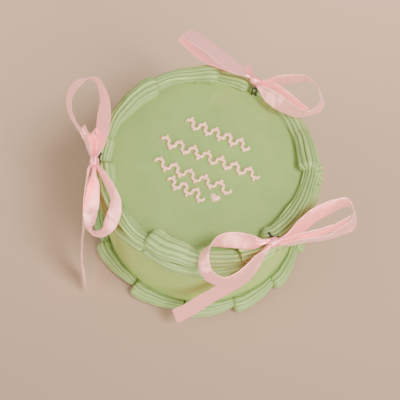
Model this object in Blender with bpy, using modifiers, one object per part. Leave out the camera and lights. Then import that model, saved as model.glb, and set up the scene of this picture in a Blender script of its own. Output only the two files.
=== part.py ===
"""Bento cake: a small frosted cake with piped borders, three ribbon bows and a piped motif.

Metres, +Z up. The origin is on the cake's axis at its base, and -Y is the front.
"""
import math
import random

import bmesh
import bpy
from mathutils import Matrix, Vector

MM = 0.001
GAP = 0.3 * MM              # left between pieces that touch
WELDS = (0.04 * MM, 0.02 * MM, 0.01 * MM, 0.004 * MM)   # edges to merge away, longest first

# Cake
CAKE_RADIUS = 56.5 * MM
CAKE_HEIGHT = 70.0 * MM
CAKE_EDGE_RADIUS = 2.5 * MM
CAKE_SIDES = 44

# Star piping: ridges round a rope, and how deep the grooves between them are
RIDGES_TOP = 6
RIDGES_BASE = 5
RIDGES_SWAG = 3
GROOVE_DEPTH = 0.30
BLUNT_STEPS = 3             # rings that round the blunt start of a rope
TUCKED_TIP = 0.30           # radius share left at the tip of a tail

# Top border: ropes along the upper edge, each with a blunt start and a tail under the next
TOP_ROPE_RADIUS = 5.6 * MM
TOP_ROPE_CIRCLE = 54.0 * MM
TOP_ROPE_TUCK = 5.0         # degrees that a tail runs on under the next start
TOP_RING_SPAN = 12.0        # degrees between two rings of a rope
TOP_ROPE_TAIL = 0.72        # tail radius over start radius
TOP_ROPE_INSET = 0.9 * MM   # a start sits this much nearer the axis, a tail as much farther
TOP_ROPE_STARTS = (-172.0, -117.0, -47.0, 3.0, 70.0, 90.0, 129.0, 175.0)
TOP_ROPE_SIZES = (0.97, 1.04, 1.0, 1.0, 0.94, 0.96, 1.13, 0.95)     # over the mean radius

# Side swags: pairs of thin ropes that hang between these places on the edge
SWAG_POSTS = (-172.0, -117.0, -47.0, 0.0, 68.0, 129.0)
SWAG_RADIUS = (2.7 * MM, 2.3 * MM)
SWAG_TOP = (68.5 * MM, 67.0 * MM)
SWAG_SAG = (5.2 * MM, 8.2 * MM)
SWAG_STAND_OFF = 0.6 * MM   # rope centre outside the cake's side
SWAG_RINGS = 6

# Base border: teardrops round the foot, each running on under the next start
BASE_STARTS = (-154.0, -123.0, -93.0, -66.0, -41.0, -17.0, 10.5, 38.5, 66.5, 94.5, 122.5, 150.5,
               178.5)
BASE_ROPE_RADIUS = 5.3 * MM
BASE_ROPE_TAIL = 0.55
BASE_START_CIRCLE = 60.3 * MM
BASE_TAIL_CIRCLE = 59.0 * MM
BASE_CENTRE_HEIGHT = 4.5 * MM
BASE_TUCK = 3.0             # degrees
BASE_RINGS = 3

# Piped motif on the top: tilted rows of a wavy stem with buds, and one heart
MOTIF_ROWS = (((-13.4, 23.1), (21.2, 11.9)),
              ((-25.3, 10.4), (27.8, -4.5)),
              ((-27.2, -3.1), (14.0, -14.5)),
              ((-19.1, -13.1), (0.6, -20.9)))
MOTIF_THREAD = 0.7 * MM     # thread radius
MOTIF_SWING = 1.5           # half the wave's height, in mm
MOTIF_PITCH = 8.0           # one wave and its bud, in mm
MOTIF_BUD = 0.95 * MM
MOTIF_BUD_OUT = 1.0         # mm from the bend's crest to the bud's middle
HEART_PLACE = (6.2, -19.5)
HEART_WIDTH = 5.6
HEART_THICKNESS = 1.3 * MM
HEART_TURN = -20.0
HEART_CORNERS = 14

# Satin ribbon
RIBBON_WIDTH = 9.5
RIBBON_THICKNESS = 0.5 * MM
RIBBON_PINCH = 0.42         # share of the width left where the knot gathers it
RIBBON_SPREAD = 12.0        # mm from the knot to the full width
RIBBON_STEPS = 2            # rings between two stations of a route
KNOT_SIZE = (3.1 * MM, 2.7 * MM, 2.7 * MM)

# Wire pins that hold the bows
PIN_RADIUS = 0.6 * MM
PIN_TOP = 76.7 * MM
PIN_HOLE = PIN_RADIUS + 1.2 * GAP
PIN_REACH = 4.2 * MM        # from the crown of a pin to the knot's middle

# Colours
SAGE = (0.43, 0.49, 0.25)
SAGE_PIPING = (0.47, 0.55, 0.28)
PINK_SATIN = (0.93, 0.62, 0.57)
BLACK_WIRE = (0.02, 0.02, 0.02)

# Ribbon routes in mm, chosen by hand. Each station is x, y, z of the ribbon's middle, then the
# heading and the rise, in degrees, of the line from its lower rim to its upper rim.
FRONT_KNOT = (37.4, -44.0, 79.5)
FRONT_LEFT_LOOP = (
    (35.5, -43.5, 79.5, 60, 70), (29.5, -46, 80.5, 70, 68), (23, -46, 81, 86, 57),
    (15, -46.5, 81.5, 105, 60), (9, -48.5, 81.5, 150, 80), (5, -52, 81, -55, 65),
    (4, -57, 80, -14, 58), (5.5, -62.5, 78, 10, 62), (9.5, -65.5, 76.5, 42, 74),
    (15, -66.2, 75.5, 80, 80), (20.5, -63.8, 75.3, 122, 76), (25.5, -59.3, 75.8, 145, 73),
    (30, -53.5, 76.7, 165, 74), (34.2, -48, 78.2, -160, 78), (36.4, -45.2, 79.2, -150, 78))
FRONT_RIGHT_LOOP = (
    (39, -43.5, 79.5, -172, 77), (45, -39.5, 80, 160, 74), (51, -33.5, 81, 140, 58),
    (57, -27, 81, 128, 59), (65, -21.5, 80.5, 113, 67), (71, -18.5, 80, 66, 76),
    (76, -20, 79, -104, 62), (77.5, -24, 78, -151, 65), (76.5, -28.5, 77, 162, 66),
    (71, -32.5, 76.5, 144, 79), (64, -36.5, 76, -85, 85), (55, -39.5, 76.5, -49, 82),
    (46.5, -42.5, 77.5, -22, 83), (39.4, -44.6, 78.6, -53, 80))
FRONT_LONG_TAIL = (
    (36.6, -44.7, 79.3, -144, 62), (34.6, -46.6, 77.6, -144, 50), (31.5, -50, 73, -155, 45),
    (27.5, -55.5, 66, -170, 36), (22.5, -58.5, 57, 175, 28), (15.5, -61, 46, 178, 32),
    (7.5, -63.5, 34, 177, 35), (0.5, -66.5, 24, 174, 39), (-7.5, -69.5, 16, 172, 43))
FRONT_SHORT_TAIL = (
    (39.6, -43.2, 79.5, -160, 78), (47, -41.6, 79.9, -162, 80), (54, -40.1, 80.6, 127, 84),
    (61.5, -37, 80.2, 84, 83), (68, -33.4, 79.8, 68, 85), (74, -29.4, 79.4, 99, 81))
BACK_KNOT = (20.8, 48.2, 79.5)
BACK_LEFT_LOOP = (
    (18.2, 49.6, 80.3, -110, 47), (10.5, 52, 82.5, -106, 25), (3, 56, 84, -122, 14),
    (-5.5, 62, 84.5, -124, 16), (-13.5, 67, 84.5, -122, 16), (-18.5, 70.3, 83, -122, 14),
    (-21, 72, 80.3, -122, 13), (-18.5, 70, 77.5, -121, 14), (-8, 62.5, 76, -118, 17),
    (0, 59, 76.5, -116, 17), (9.5, 55, 77.5, -118, 27), (16.5, 51.8, 78.3, -121, 38),
    (19.6, 49.5, 79.2, -121, 50))
BACK_RIGHT_LOOP = (
    (22, 48, 79.5, -154, 79), (27.5, 47.5, 80.5, -178, 80), (34, 49, 81.5, 175, 83),
    (40, 50.5, 82, -127, 87), (46, 51.5, 82, -88, 80), (51, 50.5, 82, -113, 64),
    (55, 46.5, 81.5, -134, 66), (57, 41, 81, -163, 65), (56.5, 36.5, 81, 156, 75),
    (53.5, 33, 81, 10, 84), (49, 30.5, 81, -77, 80), (44, 30.5, 81, 80, 86), (38.5, 33, 81, 63, 74),
    (33, 36, 81, 64, 64), (28, 39.5, 80.5, 76, 69), (23.4, 44, 79.8, 120, 78),
    (21.4, 47, 79.5, 141, 80))
BACK_RIGHT_TAIL = (
    (23, 47, 79, -60, 80), (28, 45.6, 79.5, 49, 80), (33, 42.8, 80, 49, 75),
    (38.5, 38.8, 80, 38, 72), (43.5, 35, 79.8, 30, 73), (47.5, 32.6, 79.2, 30, 76))
BACK_LEFT_TAIL = (
    (19.4, 49.6, 79.2, -40, 55), (16.6, 52, 78.3, -20, 40), (12.5, 57, 76.5, 0, 10),
    (10, 61, 70, 0, 0), (9, 63, 57, 0, 0), (8, 64.5, 38, 0, 0), (7, 69, 20, 0, 0))
LEFT_KNOT = (-57.2, -11.6, 78.7)
LEFT_UPPER_LOOP = (
    (-57.5, -9, 79, -53, 58), (-56, -4.5, 79.5, -29, 50), (-55.5, 2, 81, -8, 44),
    (-56, 10, 81, 3, 37), (-57, 19, 81, 12, 43), (-59, 27, 80.5, 30, 66), (-62.5, 33.5, 80, 94, 81),
    (-67, 36.5, 79, -130, 67), (-72.5, 35.5, 78, -72, 55), (-76, 31, 77, -37, 63),
    (-76.8, 24, 76.2, -14, 74), (-75, 17.5, 75.8, 8, 80), (-71.9, 12, 75.8, 22, 78),
    (-68.2, 7, 76.2, 30, 72), (-64.6, 2, 77, 36, 68), (-61.2, -3.6, 77.8, 45, 70),
    (-58.8, -8.6, 78.3, 62, 76), (-57.9, -11, 78.6, 75, 80))
LEFT_LOWER_LOOP = (
    (-56, -13, 79, 99, 84), (-52, -18.5, 80.5, 54, 82), (-48, -24, 81, -60, 84),
    (-45, -28.5, 81, -34, 75), (-43, -33, 80, -15, 52), (-43, -38, 77.5, -28, 30),
    (-44.5, -41.5, 73.5, -45, 17), (-47.5, -44.5, 70, -75, 22), (-51.5, -45.3, 67.3, -125, 48),
    (-55, -43.3, 67, -150, 78), (-56.3, -37.5, 69, -13, 50), (-56.5, -31.5, 71, -15, 41),
    (-57, -24.5, 74, -25, 49), (-57.5, -18.5, 76.5, -44, 53), (-57.5, -14, 78.5, -63, 53))
LEFT_LONG_TAIL = (
    (-57.8, -12.6, 78.3, -108, 66), (-58.5, -14.6, 77.1, -110, 61), (-58.5, -19.5, 73, -112, 56),
    (-59, -26.5, 68.5, -110, 50), (-59, -36.5, 60, -97, 37), (-60.5, -42, 48, -90, 22),
    (-61.5, -45.5, 36, -87, 16), (-61.5, -49.5, 21, -85, 13), (-60.5, -53, 5.5, -84, 12))
LEFT_SHORT_TAIL = (
    (-57.8, -10.6, 78.4, 10, 66), (-58.3, -6.8, 78, 2, 52), (-59.4, -2, 78.2, -12, 36),
    (-60.9, 2.8, 78, -28, 22), (-62.2, 6.2, 76, -42, 10), (-63, 7.6, 71, -52, 3),
    (-63.4, 7.4, 63, -58, 0), (-63.8, 7, 54, -62, 0))

# Each bow: its knot, its strips, and where the two legs of its pin go down, in mm
BOWS = {
    "bow_front": (FRONT_KNOT, (FRONT_LEFT_LOOP, FRONT_RIGHT_LOOP, FRONT_LONG_TAIL,
                               FRONT_SHORT_TAIL), ((34.9, -37.8), (39.7, -39.2))),
    "bow_back": (BACK_KNOT, (BACK_LEFT_LOOP, BACK_RIGHT_LOOP, BACK_RIGHT_TAIL,
                             BACK_LEFT_TAIL), ((19.1, 45.4), (22.3, 45.3))),
    "bow_left": (LEFT_KNOT, (LEFT_UPPER_LOOP, LEFT_LOWER_LOOP, LEFT_LONG_TAIL,
                             LEFT_SHORT_TAIL), ((-54.9, -5.2), (-55.1, -9.0))),
}
# How far, in mm, the last station's upper rim runs on past the lower one: a slanting cut
TAIL_CUTS = {FRONT_LONG_TAIL: -5.0, FRONT_SHORT_TAIL: 5.0, BACK_RIGHT_TAIL: 4.0,
             BACK_LEFT_TAIL: 4.0, LEFT_LONG_TAIL: 3.0, LEFT_SHORT_TAIL: 4.0}


def clear_scene():
    for obj in list(bpy.data.objects):
        bpy.data.objects.remove(obj, do_unlink=True)


def new_collection(name):
    collection = bpy.data.collections.new(name)
    bpy.context.scene.collection.children.link(collection)
    return collection


def new_material(name, colour, roughness, metallic=0.0):
    material = bpy.data.materials.new(name)
    material.use_nodes = True
    shader = material.node_tree.nodes["Principled BSDF"]
    shader.inputs["Base Color"].default_value = (*colour, 1.0)
    shader.inputs["Roughness"].default_value = roughness
    shader.inputs["Metallic"].default_value = metallic
    return material


def add_object(name, data, collection):
    obj = bpy.data.objects.new(name, data)
    collection.objects.link(obj)
    return obj


def mesh_object(name, bm, collection):
    mesh = bpy.data.meshes.new(name)
    bm.to_mesh(mesh)
    bm.free()
    return add_object(name, mesh, collection)


def evaluated_mesh(obj):
    depsgraph = bpy.context.evaluated_depsgraph_get()
    return bpy.data.meshes.new_from_object(obj.evaluated_get(depsgraph))


def weld(mesh):
    """Merges the very short edges that a Boolean leaves, as far as the surface stays closed."""
    for distance in WELDS:
        bm = bmesh.new()
        bm.from_mesh(mesh)
        bmesh.ops.triangulate(bm, faces=bm.faces)
        bmesh.ops.remove_doubles(bm, verts=bm.verts, dist=distance)
        bmesh.ops.dissolve_degenerate(bm, edges=bm.edges, dist=0.3 * distance)
        bmesh.ops.triangulate(bm, faces=bm.faces)
        closed = all(len(edge.link_faces) == 2 for edge in bm.edges)
        if closed:
            bm.to_mesh(mesh)
        bm.free()
        if closed:
            return


def curve_to_mesh(obj, collection):
    """A closed mesh of a curve whose caps are welded on; the curve is removed."""
    mesh = evaluated_mesh(obj)
    bm = bmesh.new()
    bm.from_mesh(mesh)
    bmesh.ops.remove_doubles(bm, verts=bm.verts, dist=0.002 * MM)
    bmesh.ops.recalc_face_normals(bm, faces=bm.faces)
    bm.to_mesh(mesh)
    bm.free()
    solid = add_object(obj.name + "_solid", mesh, collection)
    solid.matrix_world = obj.matrix_world
    bpy.data.objects.remove(obj, do_unlink=True)
    return solid


def join_solids(name, pieces, collection, material):
    """One body from overlapping solids, which are removed."""
    first, rest = pieces[0], pieces[1:]
    group = new_collection(name + "_pieces")
    for piece in rest:
        for owner in piece.users_collection:
            owner.objects.unlink(piece)
        group.objects.link(piece)
    join = first.modifiers.new("join", "BOOLEAN")
    join.operation = "UNION"
    join.operand_type = "COLLECTION"
    join.collection = group
    join.solver = "MANIFOLD"
    mesh = evaluated_mesh(first)
    for piece in list(pieces):
        bpy.data.objects.remove(piece, do_unlink=True)
    bpy.data.collections.remove(group)
    mesh.name = name
    mesh.materials.clear()
    mesh.materials.append(material)
    return add_object(name, mesh, collection)


def cut(obj, cutter):
    """Takes the cutter out of the object for good."""
    difference = obj.modifiers.new("cut", "BOOLEAN")
    difference.operation = "DIFFERENCE"
    difference.object = cutter
    difference.solver = "MANIFOLD"
    material = obj.data.materials[0]
    mesh = evaluated_mesh(obj)
    obj.modifiers.remove(difference)
    obj.data = mesh
    mesh.materials.clear()
    mesh.materials.append(material)


def smooth(obj, angle):
    obj.data.shade_smooth()
    obj.data.set_sharp_from_angle(angle=math.radians(angle))


def turned_solid(name, outline, sides, collection):
    """A solid turned about Z from an outline of (radius, height) points, top to bottom."""
    bm = bmesh.new()
    points = [bm.verts.new((radius, 0.0, height)) for radius, height in outline]
    for upper, lower in zip(points, points[1:]):
        bm.edges.new((upper, lower))
    obj = mesh_object(name, bm, collection)
    screw = obj.modifiers.new("turn", "SCREW")
    screw.steps = sides
    screw.render_steps = sides
    screw.use_merge_vertices = True
    screw.merge_threshold = 0.01 * MM
    return obj


def cake_outline(grow, foot):
    """The cake's half section, grown outwards by a margin, down to a given height."""
    outline = [(0.0, CAKE_HEIGHT + grow)]
    steps = 4
    for step in range(steps + 1):
        turn = 0.5 * math.pi * step / steps
        outline.append((CAKE_RADIUS - CAKE_EDGE_RADIUS * (1 - math.sin(turn)) + grow,
                        CAKE_HEIGHT - CAKE_EDGE_RADIUS * (1 - math.cos(turn)) + grow))
    outline.append((CAKE_RADIUS + grow, foot))
    outline.append((0.0, foot))
    return outline


def on_circle(radius, degrees, height):
    turn = math.radians(degrees)
    return Vector((radius * math.cos(turn), radius * math.sin(turn), height))


def star_section(ridges, collection):
    """The flat star outline that a piping tip gives, with a radius of one metre."""
    data = bpy.data.curves.new("star_section", "CURVE")
    data.dimensions = "2D"
    data.fill_mode = "NONE"
    spline = data.splines.new("POLY")
    corners = 2 * ridges
    spline.points.add(corners - 1)
    for index in range(corners):
        radius = 1.0 if index % 2 == 0 else 1.0 - GROOVE_DEPTH
        turn = 2 * math.pi * (index + 0.5) / corners
        spline.points[index].co = (radius * math.cos(turn), radius * math.sin(turn), 0.0, 1.0)
    spline.use_cyclic_u = True
    return add_object("star_section", data, collection)


def piped_rope(name, rings, ridges, collection):
    """A ridged rope through rings of (point, radius, twist)."""
    section = star_section(ridges, collection)
    data = bpy.data.curves.new(name, "CURVE")
    data.dimensions = "3D"
    data.twist_mode = "Z_UP"
    data.bevel_mode = "OBJECT"
    data.bevel_object = section
    data.use_fill_caps = True
    spline = data.splines.new("POLY")
    spline.points.add(len(rings) - 1)
    for point, (place, radius, twist) in zip(spline.points, rings):
        point.co = (*place, 1.0)
        point.radius = radius
        point.tilt = twist
    rope = add_object(name, data, collection)
    solid = curve_to_mesh(rope, collection)
    bpy.data.objects.remove(section, do_unlink=True)
    return solid


def rope_shares(length, radius, middle_rings, tip_share):
    """Rings along a rope as (share of the length, share of the radius): a blunt start, a
    steady middle and a tail that closes quickly."""
    nose = radius / length
    shares = []
    for step in range(BLUNT_STEPS + 1):
        turn = 0.5 * math.pi * step / BLUNT_STEPS
        shares.append((nose * (1 - math.cos(turn)), max(math.sin(turn), 0.08)))
    close = 1.0 - 0.8 * nose
    for step in range(1, middle_rings + 1):
        shares.append((nose + (close - nose) * step / middle_rings, 1.0))
    shares.append((1.0, tip_share))
    return shares


def top_ropes(collection):
    """The ropes along the upper edge, with lengths as uneven as a hand makes them."""
    ropes = []
    count = len(TOP_ROPE_STARTS)
    for index, start in enumerate(TOP_ROPE_STARTS):
        following = TOP_ROPE_STARTS[(index + 1) % count]
        span = (following - start) % 360.0 + TOP_ROPE_TUCK
        length = math.radians(span) * TOP_ROPE_CIRCLE
        size = TOP_ROPE_RADIUS * TOP_ROPE_SIZES[index]
        rings = []
        for share, fullness in rope_shares(length, size, max(3, round(span / TOP_RING_SPAN)), TUCKED_TIP):
            taper = 1.0 - (1.0 - TOP_ROPE_TAIL) * share
            circle = TOP_ROPE_CIRCLE + TOP_ROPE_INSET * (2 * share - 1)
            place = on_circle(circle, start + span * share, CAKE_HEIGHT + 0.1 * MM)
            rings.append((place, size * taper * fullness, 0.5 * share))
        ropes.append(piped_rope(f"top_rope_{index}", rings, RIDGES_TOP, collection))
    return ropes


def swag_ropes(collection):
    """Two thin ropes that sag between each pair of posts on the side."""
    ropes = []
    circle = CAKE_RADIUS + SWAG_STAND_OFF
    for index, start in enumerate(SWAG_POSTS):
        following = SWAG_POSTS[(index + 1) % len(SWAG_POSTS)]
        span = (following - start) % 360.0
        for radius, top, sag in zip(SWAG_RADIUS, SWAG_TOP, SWAG_SAG):
            rings = []
            for ring in range(SWAG_RINGS):
                share = ring / (SWAG_RINGS - 1)
                hang = 4 * share * (1 - share)
                place = on_circle(circle, start + span * share, top - sag * hang)
                rings.append((place, radius * (0.75 + 0.25 * hang), 0.3 * share))
            ropes.append(piped_rope(f"swag_{index}_{len(ropes)}", rings, RIDGES_SWAG, collection))
    return ropes


def base_ropes(collection):
    """The teardrops round the foot."""
    draw = random.Random(5)
    ropes = []
    for index, start in enumerate(BASE_STARTS):
        following = BASE_STARTS[(index + 1) % len(BASE_STARTS)]
        span = (following - start) % 360.0 + BASE_TUCK
        length = math.radians(span) * BASE_TAIL_CIRCLE
        size = BASE_ROPE_RADIUS * draw.uniform(0.94, 1.05)
        rings = []
        for share, fullness in rope_shares(length, size, BASE_RINGS, TUCKED_TIP):
            taper = 1.0 - (1.0 - BASE_ROPE_TAIL) * share
            circle = BASE_START_CIRCLE + (BASE_TAIL_CIRCLE - BASE_START_CIRCLE) * share
            place = on_circle(circle, start + span * share, BASE_CENTRE_HEIGHT)
            rings.append((place, size * taper * fullness, 0.4 * share))
        ropes.append(piped_rope(f"base_rope_{index}", rings, RIDGES_BASE, collection))
    return ropes


def motif_row(name, ends, collection):
    """A wavy stem with a bud on the outside of every second bend."""
    (x0, y0), (x1, y1) = ends
    along = Vector((x1 - x0, y1 - y0, 0.0))
    length = along.length
    along.normalize()
    across = Vector((-along.y, along.x, 0.0))
    waves = max(1, round(length / MOTIF_PITCH))
    steps = waves * 4
    data = bpy.data.curves.new(name, "CURVE")
    data.dimensions = "3D"
    data.bevel_depth = MOTIF_THREAD
    data.bevel_resolution = 0
    data.use_fill_caps = True
    spline = data.splines.new("POLY")
    spline.points.add(steps)
    pieces = []
    for step in range(steps + 1):
        share = step / steps
        turn = 2 * math.pi * waves * share
        flat = Vector((x0, y0, 0.0)) + along * length * share
        place = (flat + across * MOTIF_SWING * math.sin(turn)) * MM
        place.z = CAKE_HEIGHT + 0.45 * MOTIF_THREAD
        spline.points[step].co = (*place, 1.0)
    for wave in range(waves):
        flat = Vector((x0, y0, 0.0)) + along * length * (wave + 0.25) / waves
        place = (flat + across * (MOTIF_SWING + MOTIF_BUD_OUT)) * MM
        place.z = CAKE_HEIGHT + 0.3 * MOTIF_BUD
        pieces.append(small_ball(f"{name}_bud_{wave}", place, MOTIF_BUD, collection))
    stem = curve_to_mesh(add_object(name, data, collection), collection)
    return [stem] + pieces


def small_ball(name, place, radius, collection):
    bm = bmesh.new()
    bmesh.ops.create_icosphere(bm, subdivisions=1, radius=radius)
    bmesh.ops.translate(bm, verts=bm.verts, vec=place)
    return mesh_object(name, bm, collection)


def heart(collection):
    """A flat heart with its point towards the front."""
    data = bpy.data.curves.new("heart", "CURVE")
    data.dimensions = "2D"
    data.fill_mode = "BOTH"
    data.extrude = 0.5 * HEART_THICKNESS
    spline = data.splines.new("POLY")
    spline.points.add(HEART_CORNERS - 1)
    for index in range(HEART_CORNERS):
        turn = 2 * math.pi * index / HEART_CORNERS
        across = 16 * math.sin(turn) ** 3
        up = (13 * math.cos(turn) - 5 * math.cos(2 * turn) - 2 * math.cos(3 * turn)
              - math.cos(4 * turn))
        scale = HEART_WIDTH / 32 * MM
        spline.points[index].co = (across * scale, up * scale, 0.0, 1.0)
    spline.use_cyclic_u = True
    obj = add_object("heart", data, collection)
    obj.location = (HEART_PLACE[0] * MM, HEART_PLACE[1] * MM,
                    CAKE_HEIGHT + 0.3 * HEART_THICKNESS)
    obj.rotation_euler.z = math.radians(HEART_TURN)
    bpy.context.view_layer.update()
    return curve_to_mesh(obj, collection)


def catmull_rom(points, share):
    """A point of the smooth curve through evenly numbered points."""
    last = len(points) - 1
    index = min(int(share), last - 1)
    along = share - index
    before = points[index - 1] if index > 0 else 2 * points[0] - points[1]
    after = points[index + 2] if index + 2 <= last else 2 * points[last] - points[last - 1]
    here, there = points[index], points[index + 1]
    return 0.5 * (2 * here + (there - before) * along
                  + (2 * before - 5 * here + 4 * there - after) * along ** 2
                  + (3 * here - before - 3 * there + after) * along ** 3)


def rim_direction(heading, rise):
    head, up = math.radians(heading), math.radians(rise)
    return Vector((math.cos(up) * math.cos(head), math.cos(up) * math.sin(head), math.sin(up)))


def ribbon_strip(name, route, knot, slant, collection):
    """A thin strip along a route of stations, gathered near the knot."""
    middles = [Vector(station[:3]) for station in route]
    rims = [rim_direction(station[3], station[4]) for station in route]
    last = len(route) - 1
    rings = last * RIBBON_STEPS
    bm = bmesh.new()
    bmesh.ops.create_grid(bm, x_segments=rings, y_segments=1, size=0.5)
    for vert in bm.verts:
        share = (vert.co.x + 0.5) * last
        side = 2 * vert.co.y
        middle = catmull_rom(middles, share)
        ahead = catmull_rom(middles, min(share + 0.02, last))
        behind = catmull_rom(middles, max(share - 0.02, 0.0))
        travel = (ahead - behind).normalized()
        rim = catmull_rom(rims, share)
        rim = (rim - travel * rim.dot(travel)).normalized()
        spread = min(max(((middle - Vector(knot)).length - 2.0) / (RIBBON_SPREAD - 2.0), 0), 1)
        width = RIBBON_WIDTH * (RIBBON_PINCH + (1 - RIBBON_PINCH) * spread ** 2 * (3 - 2 * spread))
        near_end = max(share - last + 1, 0.0)
        place = middle + rim * side * 0.5 * width + travel * side * 0.5 * slant * near_end
        vert.co = place * MM
    bmesh.ops.triangulate(bm, faces=bm.faces)
    strip = mesh_object(name, bm, collection)
    wall = strip.modifiers.new("thickness", "SOLIDIFY")
    wall.thickness = RIBBON_THICKNESS
    wall.offset = 0.0
    mesh = evaluated_mesh(strip)
    bpy.data.objects.remove(strip, do_unlink=True)
    return add_object(name, mesh, collection)


def knot_ball(name, knot, collection):
    """The gathered knot, longest along the cake's edge."""
    bm = bmesh.new()
    bmesh.ops.create_uvsphere(bm, u_segments=9, v_segments=6, radius=1.0)
    turn = math.atan2(knot[1], knot[0]) + 0.5 * math.pi
    matrix = (Matrix.Translation(Vector(knot) * MM) @ Matrix.Rotation(turn, 4, "Z")
              @ Matrix.Diagonal((*KNOT_SIZE, 1.0)) @ Matrix.Rotation(0.5 * math.pi, 4, "Y"))
    bmesh.ops.transform(bm, matrix=matrix, verts=bm.verts)
    return mesh_object(name, bm, collection)


def make_bow(name, knot, routes, collection, material):
    pieces = [knot_ball(name + "_knot", knot, collection)]
    for index, route in enumerate(routes):
        slant = TAIL_CUTS.get(route, 0.0)
        pieces.append(ribbon_strip(f"{name}_strip_{index}", route, knot, slant, collection))
    return join_solids(name, pieces, collection, material)


def make_pin(name, legs, knot, collection, material):
    """A bent wire with both legs in the icing and its crown leaning to the knot."""
    foot = CAKE_HEIGHT + GAP
    first, second = (Vector((x * MM, y * MM, 0.0)) for x, y in legs)
    corner = 0.25 * (second - first)
    up = Vector((0.0, 0.0, 1.0))
    bend = corner.length
    lean = Vector((knot[0] * MM, knot[1] * MM, 0.0)) - 0.5 * (first + second)
    lean *= max(lean.length - PIN_REACH, 0.0) / lean.length
    data = bpy.data.curves.new(name, "CURVE")
    data.dimensions = "3D"
    data.bevel_depth = PIN_RADIUS
    data.bevel_resolution = 1
    data.use_fill_caps = True
    route = []
    for leg, inward in ((first, corner), (second, -corner)):
        half = [leg + up * foot, leg + up * (PIN_TOP - bend),
                leg + up * (PIN_TOP - 0.3 * bend) + 0.3 * inward + 0.5 * lean,
                leg + up * PIN_TOP + inward + lean]
        route += half if leg is first else reversed(half)
    spline = data.splines.new("POLY")
    spline.points.add(len(route) - 1)
    for point, place in zip(spline.points, route):
        point.co = (*place, 1.0)
    wire = curve_to_mesh(add_object(name + "_wire", data, collection), collection)
    wire.name = name
    wire.data.materials.append(material)
    smooth(wire, 40)
    return wire


def pin_hole(name, leg, collection):
    """The room that a pin's leg takes in the piping."""
    bm = bmesh.new()
    bmesh.ops.create_cone(bm, cap_ends=True, segments=10, radius1=PIN_HOLE, radius2=PIN_HOLE,
                          depth=20 * MM)
    bmesh.ops.translate(bm, verts=bm.verts, vec=(leg[0] * MM, leg[1] * MM, CAKE_HEIGHT))
    return mesh_object(name, bm, collection)


def hide_cutter(obj):
    obj.hide_render = True
    obj.display_type = "WIRE"


def main():
    clear_scene()
    cake_parts = new_collection("bento_cake")
    cutters = new_collection("cutters")
    sage = new_material("sage_icing", SAGE, 0.55)
    piping = new_material("sage_piping", SAGE_PIPING, 0.5)
    satin = new_material("pink_satin", PINK_SATIN, 0.35)
    wire = new_material("black_wire", BLACK_WIRE, 0.35)

    body = turned_solid("cake_turned", cake_outline(0.0, 0.0), CAKE_SIDES, cutters)
    motif = [heart(cutters)]
    for index, ends in enumerate(MOTIF_ROWS):
        motif += motif_row(f"motif_row_{index}", ends, cutters)
    body_mesh = add_object("cake_plain", evaluated_mesh(body), cutters)
    bpy.data.objects.remove(body, do_unlink=True)
    cake = join_solids("cake_body", [body_mesh] + motif, cake_parts, sage)
    weld(cake.data)
    smooth(cake, 35)

    room = turned_solid("cake_room", cake_outline(GAP, -20 * MM), CAKE_SIDES, cutters)
    bm = bmesh.new()
    bmesh.ops.create_cube(bm, size=1.0)
    bmesh.ops.scale(bm, verts=bm.verts, vec=(0.2, 0.2, 0.02))
    bmesh.ops.translate(bm, verts=bm.verts, vec=(0.0, 0.0, -0.01))
    ground = mesh_object("ground_room", bm, cutters)

    top = join_solids("top_border", top_ropes(cutters) + swag_ropes(cutters), cake_parts, piping)
    cut(top, room)
    base = join_solids("base_border", base_ropes(cutters), cake_parts, piping)
    cut(base, room)
    cut(base, ground)

    for name, (knot, routes, legs) in BOWS.items():
        bow = make_bow(name, knot, routes, cake_parts, satin)
        weld(bow.data)
        make_pin(name.replace("bow", "pin"), legs, knot, cake_parts, wire)
        for index, leg in enumerate(legs):
            hole = pin_hole(f"{name}_hole_{index}", leg, cutters)
            cut(top, hole)
            hide_cutter(hole)
    for border in (top, base):
        weld(border.data)
        smooth(border, 50)
    hide_cutter(room)
    hide_cutter(ground)


main()
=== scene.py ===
"""Bento cake: frosting, piped borders, a piped motif and satin bows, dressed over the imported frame.

Metres, +Z up. The origin is on the cake's axis at its base, and -Y is the front.
"""
import math
import random
from collections import namedtuple

import bmesh
import bpy
from bpy.props import FloatProperty, FloatVectorProperty, PointerProperty
from mathutils import Matrix, Vector, noise


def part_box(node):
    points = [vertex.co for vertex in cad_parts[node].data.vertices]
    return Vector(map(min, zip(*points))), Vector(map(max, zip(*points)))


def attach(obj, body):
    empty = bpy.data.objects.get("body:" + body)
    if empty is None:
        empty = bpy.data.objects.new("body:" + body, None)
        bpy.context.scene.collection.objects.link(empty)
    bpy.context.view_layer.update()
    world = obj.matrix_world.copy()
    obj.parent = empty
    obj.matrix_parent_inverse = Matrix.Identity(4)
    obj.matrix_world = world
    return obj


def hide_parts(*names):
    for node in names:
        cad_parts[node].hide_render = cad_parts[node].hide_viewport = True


bl_info = {
    "name": "Bento Cake",
    "version": (1, 0, 0),
    "blender": (4, 5, 0),
    "location": "View3D > Sidebar > Bento Cake",
    "description": "Makes a small frosted cake with piped borders and satin bows",
    "category": "Add Mesh",
}

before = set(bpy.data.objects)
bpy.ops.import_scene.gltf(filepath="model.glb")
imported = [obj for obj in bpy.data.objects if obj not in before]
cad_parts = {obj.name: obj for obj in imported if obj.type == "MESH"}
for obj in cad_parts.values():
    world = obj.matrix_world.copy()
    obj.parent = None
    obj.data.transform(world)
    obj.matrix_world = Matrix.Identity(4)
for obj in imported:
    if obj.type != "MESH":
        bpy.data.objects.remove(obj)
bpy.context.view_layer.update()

MM = 0.001
UP = Vector((0.0, 0.0, 1.0))

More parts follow.
